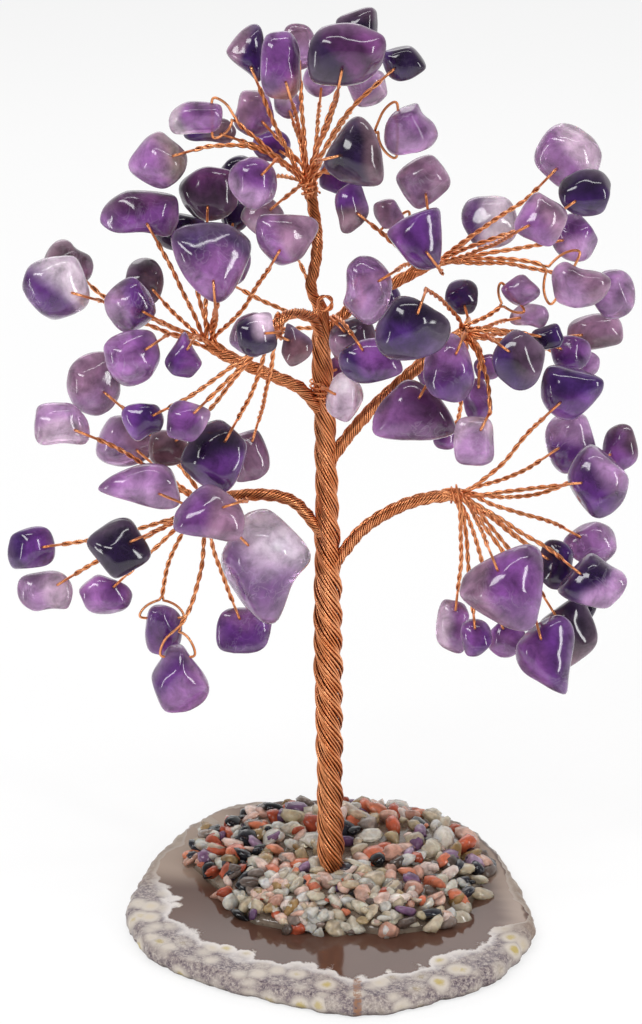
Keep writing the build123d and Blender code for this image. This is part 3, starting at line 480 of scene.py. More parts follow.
def frames(path):
    """Along, side and other directions at each point of a path: the side direction is the one of
    nine fixed directions that stays farthest off the path, made square to it."""
    along = unit(np.gradient(path, axis=0))
    fixed = unit([(1, 0, 0), (0, 1, 0), (0, 0, 1), (1, 1, 0), (1, -1, 0), (1, 0, 1), (1, 0, -1),
                  (0, 1, 1), (0, 1, -1)])
    chosen = fixed[np.abs(along @ fixed.T).max(axis=0).argmin()]
    side = unit(chosen - (along @ chosen)[:, None] * along)
    return along, side, np.cross(along, side)


def ring_faces(rows, columns):
    """Quads between neighbouring rings of a grid that closes round its columns, and its two ends."""
    i, j = np.meshgrid(np.arange(rows - 1), np.arange(columns), indexing="ij")
    k = (j + 1) % columns
    low, high = i * columns, (i + 1) * columns
    quads = np.stack([low + j, low + k, high + k, high + j], axis=-1)
    first, last = np.arange(columns)[::-1], np.arange(columns) + (rows - 1) * columns
    return [quads.reshape(-1, 4), first[None], last[None]]


def wire(path, radius=WIRE / 2, sides=7):
    """Round wire: a ring of the radius, square to the path, at each of its points."""
    _, side, other = frames(path)
    turn = np.linspace(0, 2 * np.pi, sides, endpoint=False)[:, None]
    rings = np.cos(turn) * side[:, None] + np.sin(turn) * other[:, None]
    radius = np.broadcast_to(radius, len(path))[:, None, None]
    return (path[:, None] + rings * radius).reshape(-1, 3), ring_faces(len(path), sides)


def gap(points, path, toward, first):
    """0 to 1 by how far each point of a wire lies in the gap beside its neighbours: the cosine
    between its way out from the wire's middle and the way toward them, eased from a first value.
    The copper material paints this share as dark shade."""
    sides = len(points) // len(path)
    out = unit(points - np.repeat(path, sides, axis=0))
    return eased((np.sum(out * np.repeat(toward, sides, axis=0), axis=1) - first) / 0.6)


def wound(path, radius, pitch, start, wander=0.0):
    """One strand wound round a path: it stands off the path by the radius, in a direction that
    turns once per pitch, and wanders slowly off its turn."""
    _, side, other = frames(path)
    way = way_along(path)
    turn = start - FULL_TURN * way / pitch + wander * np.sin(way / (pitch * 0.23) + 5 * start)
    return path + toward_turn(turn, side, other) * np.broadcast_to(radius, len(path))[:, None]


def clouds(points, seed, size):
    """Soft cloud value between about -1 and 1 at points: the mean of waves of that size that run
    in unordered directions."""
    random = np.random.default_rng(seed)
    ways = unit(random.normal(size=(7, 3))) * (2 * np.pi / size) * random.uniform(0.5, 1.3, (7, 1))
    return np.sin(points @ ways.T + random.uniform(0, 6.3, 7)).sum(axis=1) / 3


def eased(value):
    """0 below 0, 1 above 1, smooth between."""
    value = np.clip(value, 0, 1)
    return value * value * (3 - 2 * value)


def ground(points, seed, cuts, depth):
    """Tumbled form: each point is drawn towards the middle by 1 over the q-th root of 1 plus the
    q-th powers of its reach past unordered flat cuts, which leaves soft flats between round edges."""
    random = np.random.default_rng(seed)
    ways = unit(random.normal(size=(cuts, 3)) * (1.0, 1.0, 1.5))
    reach = points @ ways.T
    levels = reach.max(axis=0) * random.uniform(*depth, cuts)
    past = np.maximum(reach / levels, 0) ** 14
    return points * ((1 + past.sum(axis=1)) ** (-1 / 14))[:, None]


class Stone:
    """Where one stone is: its plane, outline, thickness, hole and bail, by the solid's own rules."""

    def __init__(self, number, name):
        self.number, self.name = number, name
        self.branch, self.tone, place, box, outline, turn, self.way, self.look = STONES[name]
        self.clear = self.look[-1]
        self.middle = seen(*place)
        to_eye = eye() - self.middle
        facing = np.array((0, -1, 0)) if name in LOOSE else unit(to_eye)
        x = unit(np.array((1, 0, 0)) - facing[0] * facing)
        self.axes = np.stack([x, np.cross(facing, x), facing])
        size = np.array(box) * np.linalg.norm(to_eye) / FOCAL_PX
        self.half_thickness = size.min() / 2 * share_of(number, *THICKNESS_SHARES)
        lean = math.radians(number * GOLDEN_TURN)
        self.lean = np.array((math.cos(lean), math.sin(lean))) * LEAN_SHARE * self.half_thickness
        cosine, sine = math.cos(math.radians(turn)), math.sin(math.radians(turn))
        shares = np.array(OUTLINE_SHARES[outline]) @ np.array([[cosine, sine], [-sine, cosine]])
        low, high = shares.min(axis=0), shares.max(axis=0)
        self.outline, self.size = ((shares - low) / (high - low) - 0.5) * size, size
        self.thread()

    def thread(self):
        """The hole, half way out to the edge where the stem comes from, and the bail's mouth."""
        local = self.axes @ (seen(*self.way[-1]) - self.middle)
        self.toward = unit(local[:2]) if self.name not in LOOSE else np.array(LOOSE[self.name][1], float)
        reach = way_out(self.outline, self.toward)
        self.hole_at = self.toward * reach * HOLE_INSET_SHARE
        beyond = self.size.mean() / 2 * BAIL_REACH_SHARE + WIRE_OFF_STONE
        self.bail_length = reach * (1 - HOLE_INSET_SHARE) + beyond
        if self.name in CROSSWISE:
            aside = np.array((-self.toward[1], self.toward[0]))
            widest = max(way_out(self.outline, way, self.hole_at) for way in (aside, -aside))
            self.bail_half = widest + 2 * WIRE_OFF_STONE
            self.through = np.append(aside, 0)
        else:
            self.bail_half = self.half_thickness + WIRE_OFF_STONE
            self.through = np.array((0, 0, 1.0))

    def out(self, along, through):
        """The point so far from the hole towards the stem, and so far along the hole."""
        local = np.append(self.hole_at + self.toward * along, 0) + self.through * through
        return self.middle + local @ self.axes

    def surface(self, around, levels):
        """Two parameters: the angle round the outline, and the level through the thickness, where
        the outline shrinks as a superellipse and shifts by the lean; then ground by flat cuts."""
        level = np.sin(np.linspace(-np.pi / 2, np.pi / 2, levels))
        level = np.sign(level) * np.abs(level) ** (2 / ROUND_POWER)
        scale = np.maximum(1 - np.abs(level) ** ROUND_POWER, 0) ** (1 / ROUND_POWER)
        scale[[0, -1]] = 0.02
        flat = closed_curve(self.outline, around) * scale[:, None, None] + self.lean * level[:, None, None]
        depth = np.broadcast_to((level * self.half_thickness)[:, None, None], flat.shape[:2] + (1,))
        local = np.concatenate([flat, depth], axis=-1).reshape(-1, 3)
        local = ground(local, 31 + self.number, *STONE_CUTS)
        for seed, deep, wide in STONE_DENTS:
            local *= 1 + deep * clouds(local, seed + self.number, self.size.mean() * wide)[:, None]
        rim = np.repeat(scale, around)
        return local, rim, self.middle + local @ self.axes

    def tint(self, local, rim):
        """Colour at each point: the first finish turns into the second across the stone, clouds
        lighten and darken both, and thin edges are painted paler, as light that shines through them."""
        first, second, angle, share, clear = self.look
        one, two, pale = (np.array(linear(FINISHES[name])) for name in (first, second, "pale"))
        way = np.array((math.cos(math.radians(angle)), math.sin(math.radians(angle))))
        across = (local[:, :2] / (self.size / 2)) @ way
        across = across + 0.35 * clouds(local, 7 + self.number, self.size.mean() * 0.9)
        mix = eased((across - 1 + 2 * share) / 0.7 + 0.5)[:, None]
        tint = one * (1 - mix) + two * mix
        tint = tint * (1 + 0.28 * clouds(local, 90 + self.number, self.size.mean() * 0.45))[:, None]
        # Painted light: the rim round the stone's outline is turned toward pale, as light shining through
        # the thin edge, more so in clear stones
        edge = (0.1 + 0.45 * clear) * np.clip(rim, 0, 1)[:, None] ** 5
        return np.clip(tint * (1 - edge) + pale * edge, 0, 1)

    def node(self):
        """The CAD node that the stone is in."""
        if self.name in LOOSE:
            return LOOSE[self.name][0]
        return "trunk_stones" if self.branch == "trunk" else f"{self.branch}_{self.tone}_stones"


def rope_points(branch):
    """The way of a branch's rope, with its start drawn into the trunk below."""
    x, y, depth = ROPES_PX[branch][0]
    trunk_x = np.interp(y, [row[1] for row in TRUNK_PX[::-1]], [row[0] for row in TRUNK_PX[::-1]])
    share, below = ROPE_INSIDE
    inside = (trunk_x + (x - trunk_x) * share, y + below, depth * share)
    return [seen(*inside)] + [seen(*row) for row in ROPES_PX[branch]]


def rope_radius(branch):
    """Radius of so many wires packed together."""
    return WIRE / 2 * math.sqrt(ROPE_WIRES[branch] / ROPE_PACKING)


def stem_and_bail(stone, pitch):
    """One wire and the way to its neighbour: out along the stem as one strand of the twist, round
    the bail through the hole, and back as the other strand. The strands stand either side of a
    flowing middle line, and open into the bail's two legs at its mouth."""
    random = np.random.default_rng(500 + stone.number)
    mouth = stone.out(stone.bail_length, 0)
    if stone.branch == "trunk":
        points = [seen(*row) for row in stone.way] + [mouth]
    else:
        rope = [seen(*row) for row in ROPES_PX[stone.branch][-2:]]
        back = unit(rope[0] - rope[1])
        root, hub = STEM_SPREAD_SHARES
        off = np.cross(back, unit(random.normal(size=3))) * rope_radius(stone.branch) * root
        inside = [rope[1] + back * STEM_ROOT_MM * MM + off, rope[1] + off * hub]
        points = inside + [seen(*row) for row in stone.way] + [mouth]
    path = flowing(points, STEM_STEP)
    bow = np.sin(np.linspace(0, np.pi, len(path)))[:, None]
    drift = np.stack([clouds(path, 3 * stone.number + k, STEM_BENDS) for k in range(3)], axis=1)
    path = path + bow * drift * STEM_DRIFT_MM * MM
    _, side, other = frames(path)
    way = way_along(path)
    through = stone.through @ stone.axes
    last = math.atan2(through @ other[-1], through @ side[-1])
    turn = last - FULL_TURN * (way[-1] - way) / (pitch * random.uniform(*STEM_PITCH_SHARES))
    close, more = STRANDS_APART
    apart = WIRE / 2 * (close + more * eased((way - way[-1] + BAIL_OPENING) / BAIL_OPENING))
    strand = toward_turn(turn, side, other) * apart[:, None]
    length, half = stone.bail_length, stone.bail_half
    loop = [stone.out(a * length, b * half) for a, b in BAIL_LEGS]
    loop += [stone.out(a * length, -b * half) for a, b in BAIL_LEGS[::-1]]
    bend = flowing([(path + strand)[-1]] + loop + [(path - strand)[-1]], BAIL_STEP)
    whole = np.concatenate([path + strand, bend[1:-1], (path - strand)[::-1]])
    return whole, np.concatenate([-unit(strand), bend[1:-1] * 0, unit(strand)[::-1]])


def rope_strands(path, radius, strands, pitch, lobes, swell, seed):
    """A rope: so many wires wound side by side on a circle that swells into lobes, which turn
    with the wires, round a core of wires painted all over in the dark gap shade, which shows only
    between them. The wires are as thick as they must be to touch all along, which is less the more they
    lean."""
    way = np.linspace(0, 1, len(path))
    share = math.pi / strands * np.cos(np.arctan(FULL_TURN * radius / pitch))
    thick = radius * share / (1 + share)
    parts = []
    for number in range(strands):
        start = FULL_TURN * number / strands
        off = 1 - swell / 2 + swell * math.cos(lobes * start + seed)
        off = off + ROPE_WAVER[0] * np.sin(way * ROPE_WAVER[1] + start * 2 + seed)
        strand = wound(path, (radius - thick) * off, pitch, start, STRAND_WANDER)
        points, faces = wire(strand, thick * off * STRAND_OVERLAP, STRAND_SIDES)
        parts.append((points, faces, {"gap": gap(points, strand, unit(path - strand), ROPE_GAP_FROM)}))
    core, less = CORE_SHARES
    points, faces = wire(path, radius * (core - less * swell) - thick, STRAND_SIDES)
    # Painted shade: the core holds gap 1, so it is all dark red-brown, as the shade between the wires
    parts.append((points, faces, {"gap": np.ones(len(points))}))
    return parts


# Mesh and material helpers

def linear(colour):
    """Linear red, green and blue of an sRGB hex colour."""
    shares = [int(colour[k:k + 2], 16) / 255 for k in (1, 3, 5)]
    return [s / 12.92 if s <= 0.04045 else ((s + 0.055) / 1.055) ** 2.4 for s in shares]


def make_piece(name, parts, materials, body, node):
    """One object that replaces a CAD node, from parts: each its points and faces, and if it has
    them, its attributes and its material's number."""
    points, faces, kinds, values, start = [], [], [], {}, 0
    for place, blocks, *rest in parts:
        attributes, kind = (*rest, *({}, 0)[len(rest):])
        for block in blocks:
            faces += (block + start).tolist()
            kinds += [kind] * len(block)
        for key, value in attributes.items():
            values.setdefault(key, []).append(value)
        points.append(place)
        start += len(place)
    mesh = bpy.data.meshes.new(name)
    mesh.from_pydata(np.concatenate(points).tolist(), [], faces)
    for key, blocks in values.items():
        block = np.concatenate(blocks).astype(np.float32)
        if block.ndim == 2:
            opaque = np.ones((len(block), 1), np.float32)
            layer = mesh.attributes.new(key, "FLOAT_COLOR", "POINT")
            layer.data.foreach_set("color", np.concatenate([block, opaque], axis=1).ravel())
        else:
            mesh.attributes.new(key, "FLOAT", "POINT").data.foreach_set("value", block)
    for material in materials:
        mesh.materials.append(material)
    mesh.polygons.foreach_set("material_index", kinds)
    mesh.polygons.foreach_set("use_smooth", [True] * len(faces))
    mesh.update()
    piece = bpy.data.objects.new(name, mesh)
    bpy.context.scene.collection.objects.link(piece)
    if body:
        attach(piece, body)
    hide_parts(node)
    return piece


def made_once(look):
    """Turns a function that fills a node tree into one that gives the material of its name, and
    makes that material only once for each kind."""
    def give(*kind):
        name = "_".join((look.__name__, *kind))
        if name not in bpy.data.materials:
            material = bpy.data.materials.new(name)
            material.use_nodes = True
            material.node_tree.nodes.clear()
            look(material.node_tree, *kind)
        return bpy.data.materials[name]
    return give


def add(tree, kind, inputs=None, stops=(), **settings):
    """A shader node with its settings. Inputs takes a socket's name or number to a value, a hex
    colour, a socket that it is linked from, or a node whose first output it is linked from. Stops
    are a colour ramp's places and colours."""
    node = tree.nodes.new("ShaderNode" + kind)
    for key, value in settings.items():
        setattr(node, key, value)
    for key, value in (inputs or {}).items():
        if isinstance(value, bpy.types.Node):
            value = value.outputs[0]
        if isinstance(value, bpy.types.NodeSocket):
            tree.links.new(value, node.inputs[key])
        else:
            node.inputs[key].default_value = (*linear(value), 1) if isinstance(value, str) else value
    for number, (place, colour) in enumerate(stops):
        elements = node.color_ramp.elements
        element = elements[number] if number < 2 else elements.new(place)
        element.position, element.color = place, (*linear(colour), 1)
    return node


def own_place(tree):
    """The object's own coordinates, in metres."""
    return add(tree, "TexCoord").outputs["Object"]


def attribute(tree, name, output="Fac"):
    """A value or colour that the mesh holds at its points."""
    return add(tree, "Attribute", attribute_name=name).outputs[output]


def noise(tree, place, size, **inputs):
    """Cloudy noise with features of about that size in metres."""
    return add(tree, "TexNoise", {"Vector": place, "Scale": 1 / size, **inputs})


def ranged(tree, value, low, high, first=0.0, last=1.0, **settings):
    """A value from low to high turned into one from first to last."""
    return add(tree, "MapRange", {0: value, 1: low, 2: high, 3: first, 4: last}, **settings)


def computed(tree, operation, *values):
    """The result of a calculation with the values."""
    return add(tree, "Math", dict(enumerate(values)), operation=operation)


def mixed(tree, share, one, two):
    """The first colour turned into the second by a share."""
    return add(tree, "Mix", {0: share, 6: one, 7: two}, data_type="RGBA").outputs[2]


def finish(tree, **inputs):
    """The surface, with the shader's inputs by their names."""
    shader = add(tree, "BsdfPrincipled", {key.replace("_", " "): value for key, value in inputs.items()})
    add(tree, "OutputMaterial", {"Surface": shader})


# What a user would change

class TreeWire(bpy.types.PropertyGroup):
    """The copper wire and how tightly it is twisted."""
    copper: FloatVectorProperty(
        name="Copper", description="Colour of the bare wire", subtype="COLOR", size=3,
        default=linear("#f0a472"), min=0, max=1)
    stem_pitch: FloatProperty(
        name="Stem twist", description="Length of one full turn of a stem's two wires",
        default=3.9 * MM, min=2 * MM, max=10 * MM, unit="LENGTH")
    rope_pitch: FloatProperty(
        name="Rope twist", description="Length of one full turn of a branch's wires",
        default=8 * MM, min=5 * MM, max=40 * MM, unit="LENGTH")
    trunk_pitch: FloatProperty(
        name="Trunk twist", description="Length of one full turn of the trunk's wires",
        default=21 * MM, min=8 * MM, max=80 * MM, unit="LENGTH")
    trunk_strands: IntProperty(
        name="Trunk strands", description="Wires that show round the trunk", default=21, min=8, max=48)


class TreeStones(bpy.types.PropertyGroup):
    """The tumbled amethysts."""
    around: IntProperty(
        name="Points around", description="Points round a stone's outline", default=52, min=16, max=128)
    levels: IntProperty(
        name="Levels", description="Outlines through a stone's thickness", default=27, min=9, max=64)
    gloss: FloatProperty(
        name="Roughness", description="Roughness of the tumbled polish", default=0.09, min=0, max=1,
        subtype="FACTOR")


class TreeBase(bpy.types.PropertyGroup):
    """The agate slice and the heap of chips."""
    crumbs: IntProperty(
        name="Crumbs", description="Small grains between the chips", default=340, min=0, max=600)
    agate: FloatVectorProperty(
        name="Agate", description="Colour of the polished middle", subtype="COLOR", size=3,
        default=linear("#543b31"), min=0, max=1)


class TreeStage(bpy.types.PropertyGroup):
    """The floor and the light."""
    lamps: FloatProperty(
        name="Lamps", description="Strength of the soft lamps", default=1.0, min=0, max=5)
    sky: FloatProperty(
        name="Surroundings", description="Strength of the white surroundings", default=0.62, min=0, max=2)


# Materials

@made_once
def tumbled_amethyst(tree, kind):
    """Tumbled amethyst: a wet-looking polish over stone that is half clear, with cloudy growth
    zones about 3 mm wide and thin healed cracks that shine as pale veils."""
    clear = CLARITY[kind]
    place, tint = own_place(tree), attribute(tree, "tint", "Color")
    zones = noise(tree, place, 3 * MM, Detail=5.0, Roughness=0.6, Distortion=0.35)
    shade = ranged(tree, zones, 0.3, 0.7, 0.5, 1.55)
    body = add(tree, "VectorMath", {0: tint, 1: shade}, operation="MULTIPLY")
    veils = noise(tree, place, 4.8 * MM, Detail=3.0, Distortion=2.6)
    line = add(tree, "ValToRGB", {0: veils}, stops=(
        (0.0, "#000000"), (1.0, "#000000"), (0.46, "#000000"), (0.5, "#ffffff"), (0.54, "#000000")))
    where = ranged(tree, noise(tree, place, 10 * MM), 0.5, 0.66, 0.0, 0.02 + 0.5 * clear)
    colour = mixed(tree, computed(tree, "MULTIPLY", line, where), body, "#e3d8ec")
    dents = noise(tree, place, 3.8 * MM, Detail=1.0)
    pits = noise(tree, place, 0.7 * MM, Detail=2.0)
    soft = add(tree, "Bump", {"Strength": 0.4, "Distance": 0.5 * MM, "Height": dents})
    fine = add(tree, "Bump", {"Strength": 0.05, "Distance": 0.05 * MM, "Height": pits, "Normal": soft})
    finish(tree, Base_Color=colour, Roughness=bpy.context.scene.tree_stones.gloss, IOR=1.54,
           Transmission_Weight=clear, Subsurface_Weight=0.2 if clear else 0.0,
           Subsurface_Radius=(1.6, 0.8, 1.6), Subsurface_Scale=1.0 * MM, Normal=fine)


@made_once
def drawn_copper_wire(tree):
    """Bare drawn copper wire: smooth and bright, handled so that it is a little darker and duller
    in patches a few millimetres long, and painted dark red-brown as shade in the gaps between wires."""
    wear = noise(tree, own_place(tree), 4.2 * MM, Detail=3.0, Roughness=0.6)
    copper = tuple(bpy.context.scene.tree_wire.copper)
    worn = [c * s for c, s in zip(copper, (0.8, 0.64, 0.52))]
    colour = mixed(tree, ranged(tree, wear, 0.35, 0.6), (*worn, 1), (*copper, 1))
    # Painted shade: the gap share turns the copper dark red-brown between neighbouring wires
    painted_gap_shade = mixed(tree, attribute(tree, "gap"), colour, "#84402a")
    finish(tree, Base_Color=painted_gap_shade, Metallic=1.0, Roughness=ranged(tree, wear, 0.3, 0.7, 0.34, 0.25))


@made_once
def tumbled_gem_grit(tree, kind):
    """Tumbled gem grit: small polished grains, glassy where the mineral is clear, each with
    cloudy patches about a millimetre wide."""
    zones = noise(tree, own_place(tree), 1.2 * MM, Detail=3.0, Roughness=0.6, Distortion=0.6)
    shade = ranged(tree, zones, 0.3, 0.7, 0.72, 1.25)
    body = add(tree, "VectorMath", {0: attribute(tree, "tint", "Color"), 1: shade}, operation="MULTIPLY")
    bump = add(tree, "Bump", {"Strength": 0.2, "Distance": 0.1 * MM, "Height": zones})
    finish(tree, Base_Color=body, Roughness=0.1, IOR=1.54,
           Transmission_Weight={"glassy": 0.55, "milky": 0.3, "dense": 0.08}[kind],
           Subsurface_Weight=0.0 if kind == "dense" else 0.4, Subsurface_Radius=(1.2, 1.0, 0.8),
           Subsurface_Scale=1.0 * MM, Normal=bump)


@made_once
def set_clear_resin(tree):
    """Clear resin glue, poured and set: glossy, slightly yellow, with trapped cloudiness."""
    cloud = noise(tree, own_place(tree), 2.4 * MM, Detail=3.0)
    colour = add(tree, "ValToRGB", {0: cloud}, stops=((0.3, "#8a7264"), (0.7, "#cbb8a2")))
    bump = add(tree, "Bump", {"Strength": 0.3, "Distance": 0.3 * MM, "Height": cloud})
    finish(tree, Base_Color=colour, Roughness=0.12, IOR=1.5, Transmission_Weight=0.6, Normal=bump)


@made_once
def polished_agate_slice(tree):
    """Sawn and polished agate: a glossy taupe middle with faint growth clouds; a border of moss
    agate, where white buds about 3 mm wide with cream and yellow hearts stand in speckled
    blue-grey, and the last row of buds ends in small white teeth; a dark brown skin underneath.
    Border is 0 at the edge and 1 where the teeth are."""
    place = own_place(tree)
    border, pale, rust, skin, thin = (attribute(tree, key) for key in SLICE_VALUES)
    speckle = noise(tree, place, 0.7 * MM, Detail=5.0, Roughness=0.8)
    cloud = noise(tree, place, 3.2 * MM, Detail=4.0, Roughness=0.6)
    bent = add(tree, "VectorMath", {0: cloud.outputs["Color"], 1: (0.9 * MM,) * 3, 2: place},
               operation="MULTIPLY_ADD")
    buds = add(tree, "TexVoronoi", {"Vector": bent, "Scale": 1 / (4.3 * MM), "Randomness": 0.9})
    off_bud = buds.outputs["Distance"]
    rough_bud = computed(tree, "MULTIPLY_ADD", speckle, 0.34, off_bud)
    # Inner boundary: the border's value pushed in and out by the buds' round shapes
    jag = computed(tree, "MULTIPLY_ADD", off_bud, 0.5, border)
    fray = computed(tree, "MULTIPLY_ADD", speckle, 0.3, jag)
    inside = ranged(tree, fray, 1.34, 1.42, interpolation_type="SMOOTHSTEP")
    teeth = ranged(tree, jag, 0.9, 1.2, last=0.8, interpolation_type="SMOOTHSTEP")
    # Border: buds with their hearts in the speckled ground, teeth, the thin rim and the rust
    deep = add(tree, "ValToRGB", {0: speckle}, stops=(
        (0.36, "#473c44"), (0.74, "#cfc6be"), (0.47, "#7d7074"), (0.56, "#a1968f")))
    tone = add(tree, "SeparateXYZ", {0: buds.outputs["Color"]}).outputs
    heart = mixed(tree, ranged(tree, tone[0], 0.4, 0.6), "#c9bca6", "#b9a668")
    bud = mixed(tree, ranged(tree, rough_bud, 0.3, 0.45), heart, "#c6bcb0")
    shown = ranged(tree, tone[1], 0.15, 0.45, 0.35, 0.95)
    here = computed(tree, "MULTIPLY", shown, ranged(tree, rough_bud, 0.74, 0.5))
    toothed = mixed(tree, teeth, mixed(tree, here, deep, bud), "#dcd6d2")
    stained = computed(tree, "MULTIPLY", speckle, rust)
    stain = ranged(tree, stained, 0.38, 0.54, 0.0, 0.85)
    rinded = mixed(tree, stain, mixed(tree, thin, toothed, "#93806f"), "#8a5a36")
    # Middle
    agate = tuple(bpy.context.scene.tree_base.agate)
    dark, light = ((*[min(1, c * times) for c in agate], 1) for times in (0.8, 1.35))
    middle = mixed(tree, noise(tree, place, 14 * MM, Detail=2.0), dark, light)
    face = mixed(tree, inside, rinded, mixed(tree, pale, middle, "#a08c7d"))
    outer = computed(tree, "LESS_THAN", inside, 1.0)
    bump = add(tree, "Bump", {"Strength": 0.25, "Distance": 0.15 * MM, "Height": speckle})
    flat = add(tree, "NewGeometry").outputs["Normal"]
    normal = add(tree, "Mix", {0: outer, 4: flat, 5: bump}, data_type="VECTOR").outputs[1]
    finish(tree, Base_Color=mixed(tree, skin, face, "#4a3c38"), IOR=1.54, Specular_IOR_Level=0.17,
           Roughness=ranged(tree, outer, 0.0, 1.0, 0.08, 0.3), Normal=normal)


@made_once
def matt_white_floor(tree):
    """Matt white card, which shines by itself for the camera so that the picture's ground is white."""
    matt = add(tree, "BsdfDiffuse", {"Color": (0.97, 0.97, 0.97, 1)})
    white = add(tree, "Emission", {"Color": (1, 1, 1, 1), "Strength": 1.0})
    camera_ray = add(tree, "LightPath").outputs["Is Camera Ray"]
    both = add(tree, "MixShader", {0: computed(tree, "MULTIPLY", camera_ray, 0.72), 1: matt, 2: white})
    add(tree, "OutputMaterial", {"Surface": both})


# Operators: one for each group of like pieces, and the stage

def copper_piece(name, parts, body, node):
    """A piece of bare copper wire."""
    return make_piece(name, parts, [drawn_copper_wire()], body, node)


class GrowStones(bpy.types.Operator):
    """Tumbled amethysts, each ground from the outline and thickness of its solid"""
    bl_idname = "gem_tree.stones"
    bl_label = "Stones"

    def execute(self, context):
        props, nodes = context.scene.tree_stones, {}
        for number, name in enumerate(STONES):
            stone = Stone(number, name)
            local, rim, points = stone.surface(props.around, props.levels)
            kind = sum(stone.clear >= least for least in CLEAR_FROM)
            part = (points, ring_faces(props.levels, props.around), {"tint": stone.tint(local, rim)}, kind)
            nodes.setdefault(stone.node(), []).append(part)
        materials = [tumbled_amethyst(kind) for kind in CLARITY]
        bodies = {node: body for body, members in frame["record"]["behaviour"]["bodies"].items()
                  for node in members}
        for node, parts in nodes.items():
            make_piece(f"{node}_tumbled", parts, materials, bodies[node], node)
        return {"FINISHED"}


class TwistStems(bpy.types.Operator):
    """Stems of two twisted wires, each wire going on round its stone's bail and back"""
    bl_idname = "gem_tree.stems"
    bl_label = "Stems and bails"

    def execute(self, context):
        groups = {}
        for number, name in enumerate(STONES):
            stone = Stone(number, name)
            path, toward = stem_and_bail(stone, context.scene.tree_wire.stem_pitch)
            points, faces = wire(path, WIRE * STEM_WIRE_SHARE)
            part = (points, faces, {"gap": gap(points, path, toward, STEM_GAP_FROM)})
            groups.setdefault(stone.branch, []).append(part)
        for branch, parts in groups.items():
            body = "base" if branch == "trunk" else branch
            copper_piece(f"{branch}_stems_twisted", parts, body, f"{branch}_wires")
        return {"FINISHED"}


class TwistRopes(bpy.types.Operator):
    """Branch ropes, from inside the trunk to where their stems fan out"""
    bl_idname = "gem_tree.ropes"
    bl_label = "Ropes"

    def execute(self, context):
        pitch = context.scene.tree_wire.rope_pitch
        for number, branch in enumerate(ROPES_PX):
            path = flowing(rope_points(branch), ROPE_STEP)
            radius = rope_radius(branch)
            strands = round(math.pi * radius / (WIRE * STRAND_SPACING_SHARE))
            parts = rope_strands(path, radius, strands, pitch, *ROPE_LOBES, number)
            piece = copper_piece(f"{branch}_rope_twisted", parts, None, f"{branch}_rope")
            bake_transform(piece)
        return {"FINISHED"}


class TwistTrunk(bpy.types.Operator):
    """Trunk of wires wound together, its binding, and the curl of wire at its top"""
    bl_idname = "gem_tree.trunk"
    bl_label = "Trunk"

    def execute(self, context):
        props = context.scene.tree_wire
        rows = np.array([(*seen(x, y), width * PIXEL / 2) for x, y, width in TRUNK_PX])
        foot = rows[0] * (1, 1, 0, 1) + (0, 0, SLICE_THICKNESS + TRUNK_FOOT, 0)
        top = np.append(seen(*TRUNK_TOP_PX), rope_radius("crown"))
        rows = np.concatenate([foot[None], rows, top[None]])
        path = flowing(rows[:, :3], TRUNK_STEP)
        radius = np.interp(path[:, 2], rows[:, 2], rows[:, 3])
        parts = rope_strands(path, radius, props.trunk_strands, props.trunk_pitch, *TRUNK_LOBES, 2)
        copper_piece("trunk_twisted", parts, "base", "trunk_bundle")
        low = seen(*BINDING_PX)
        reach = np.interp(low[2], rows[:, 2], rows[:, 3]) + WIRE
        turn = np.linspace(0, FULL_TURN * BINDING_TURNS, BINDING_POINTS * BINDING_TURNS)
        climb = turn / FULL_TURN * BINDING_PITCH
        loop = low + np.stack([reach * np.sin(turn), -reach * np.cos(turn), climb], axis=1)
        copper_piece("trunk_binding_wound", [wire(loop)], "base", "trunk_binding")
        turn = np.linspace(0, KNOT_TURNS * FULL_TURN, KNOT_POINTS)
        side, rise = KNOT_RADIUS * np.cos(turn), -KNOT_RADIUS * np.sin(turn)
        curl = [side, turn / FULL_TURN * KNOT_PITCH_WIRES * WIRE, rise]
        curl = seen(*KNOT_PX) + np.stack(curl, axis=1)
        pair = [wire(wound(curl, WIRE / 2, props.stem_pitch, start)) for start in (0, np.pi)]
        copper_piece("top_knot_twisted", pair, "base", "top_knot")
        return {"FINISHED"}


class WindHubs(bpy.types.Operator):
    """Wire wound round the ends of the crown's and the right lower branch's ropes"""
    bl_idname = "gem_tree.hubs"
    bl_label = "Hub bindings"

    def execute(self, context):
        for branch, turns in HUB_BINDINGS.items():
            before, end = (seen(*row) for row in ROPES_PX[branch][-2:])
            axis = unit(before - end)
            across = unit(np.cross(axis, (0, 1, 0)))
            turn = np.linspace(0, FULL_TURN * turns, HUB_POINTS * turns)[:, None]
            reach = (rope_radius(branch) + WIRE) * (1 + 0.1 * np.sin(turn * 0.37 + 1))
            loop = end + (across * np.cos(turn) + np.cross(axis, across) * np.sin(turn)) * reach
            loop = loop + axis * (turn / FULL_TURN * BINDING_PITCH)
            copper_piece(f"{branch}_binding_wound", [wire(loop)], branch, f"{branch}_binding")
        return {"FINISHED"}


def turned(points, tilt):
    """Points turned about the x, y and z axes by the three angles of a tilt."""
    for k, angle in enumerate(tilt):
        one, two = (k + 1) % 3, (k + 2) % 3
        matrix = np.eye(3)
        matrix[one, one] = matrix[two, two] = math.cos(angle)
        matrix[one, two], matrix[two, one] = math.sin(angle), -math.sin(angle)
        points = points @ matrix
    return points


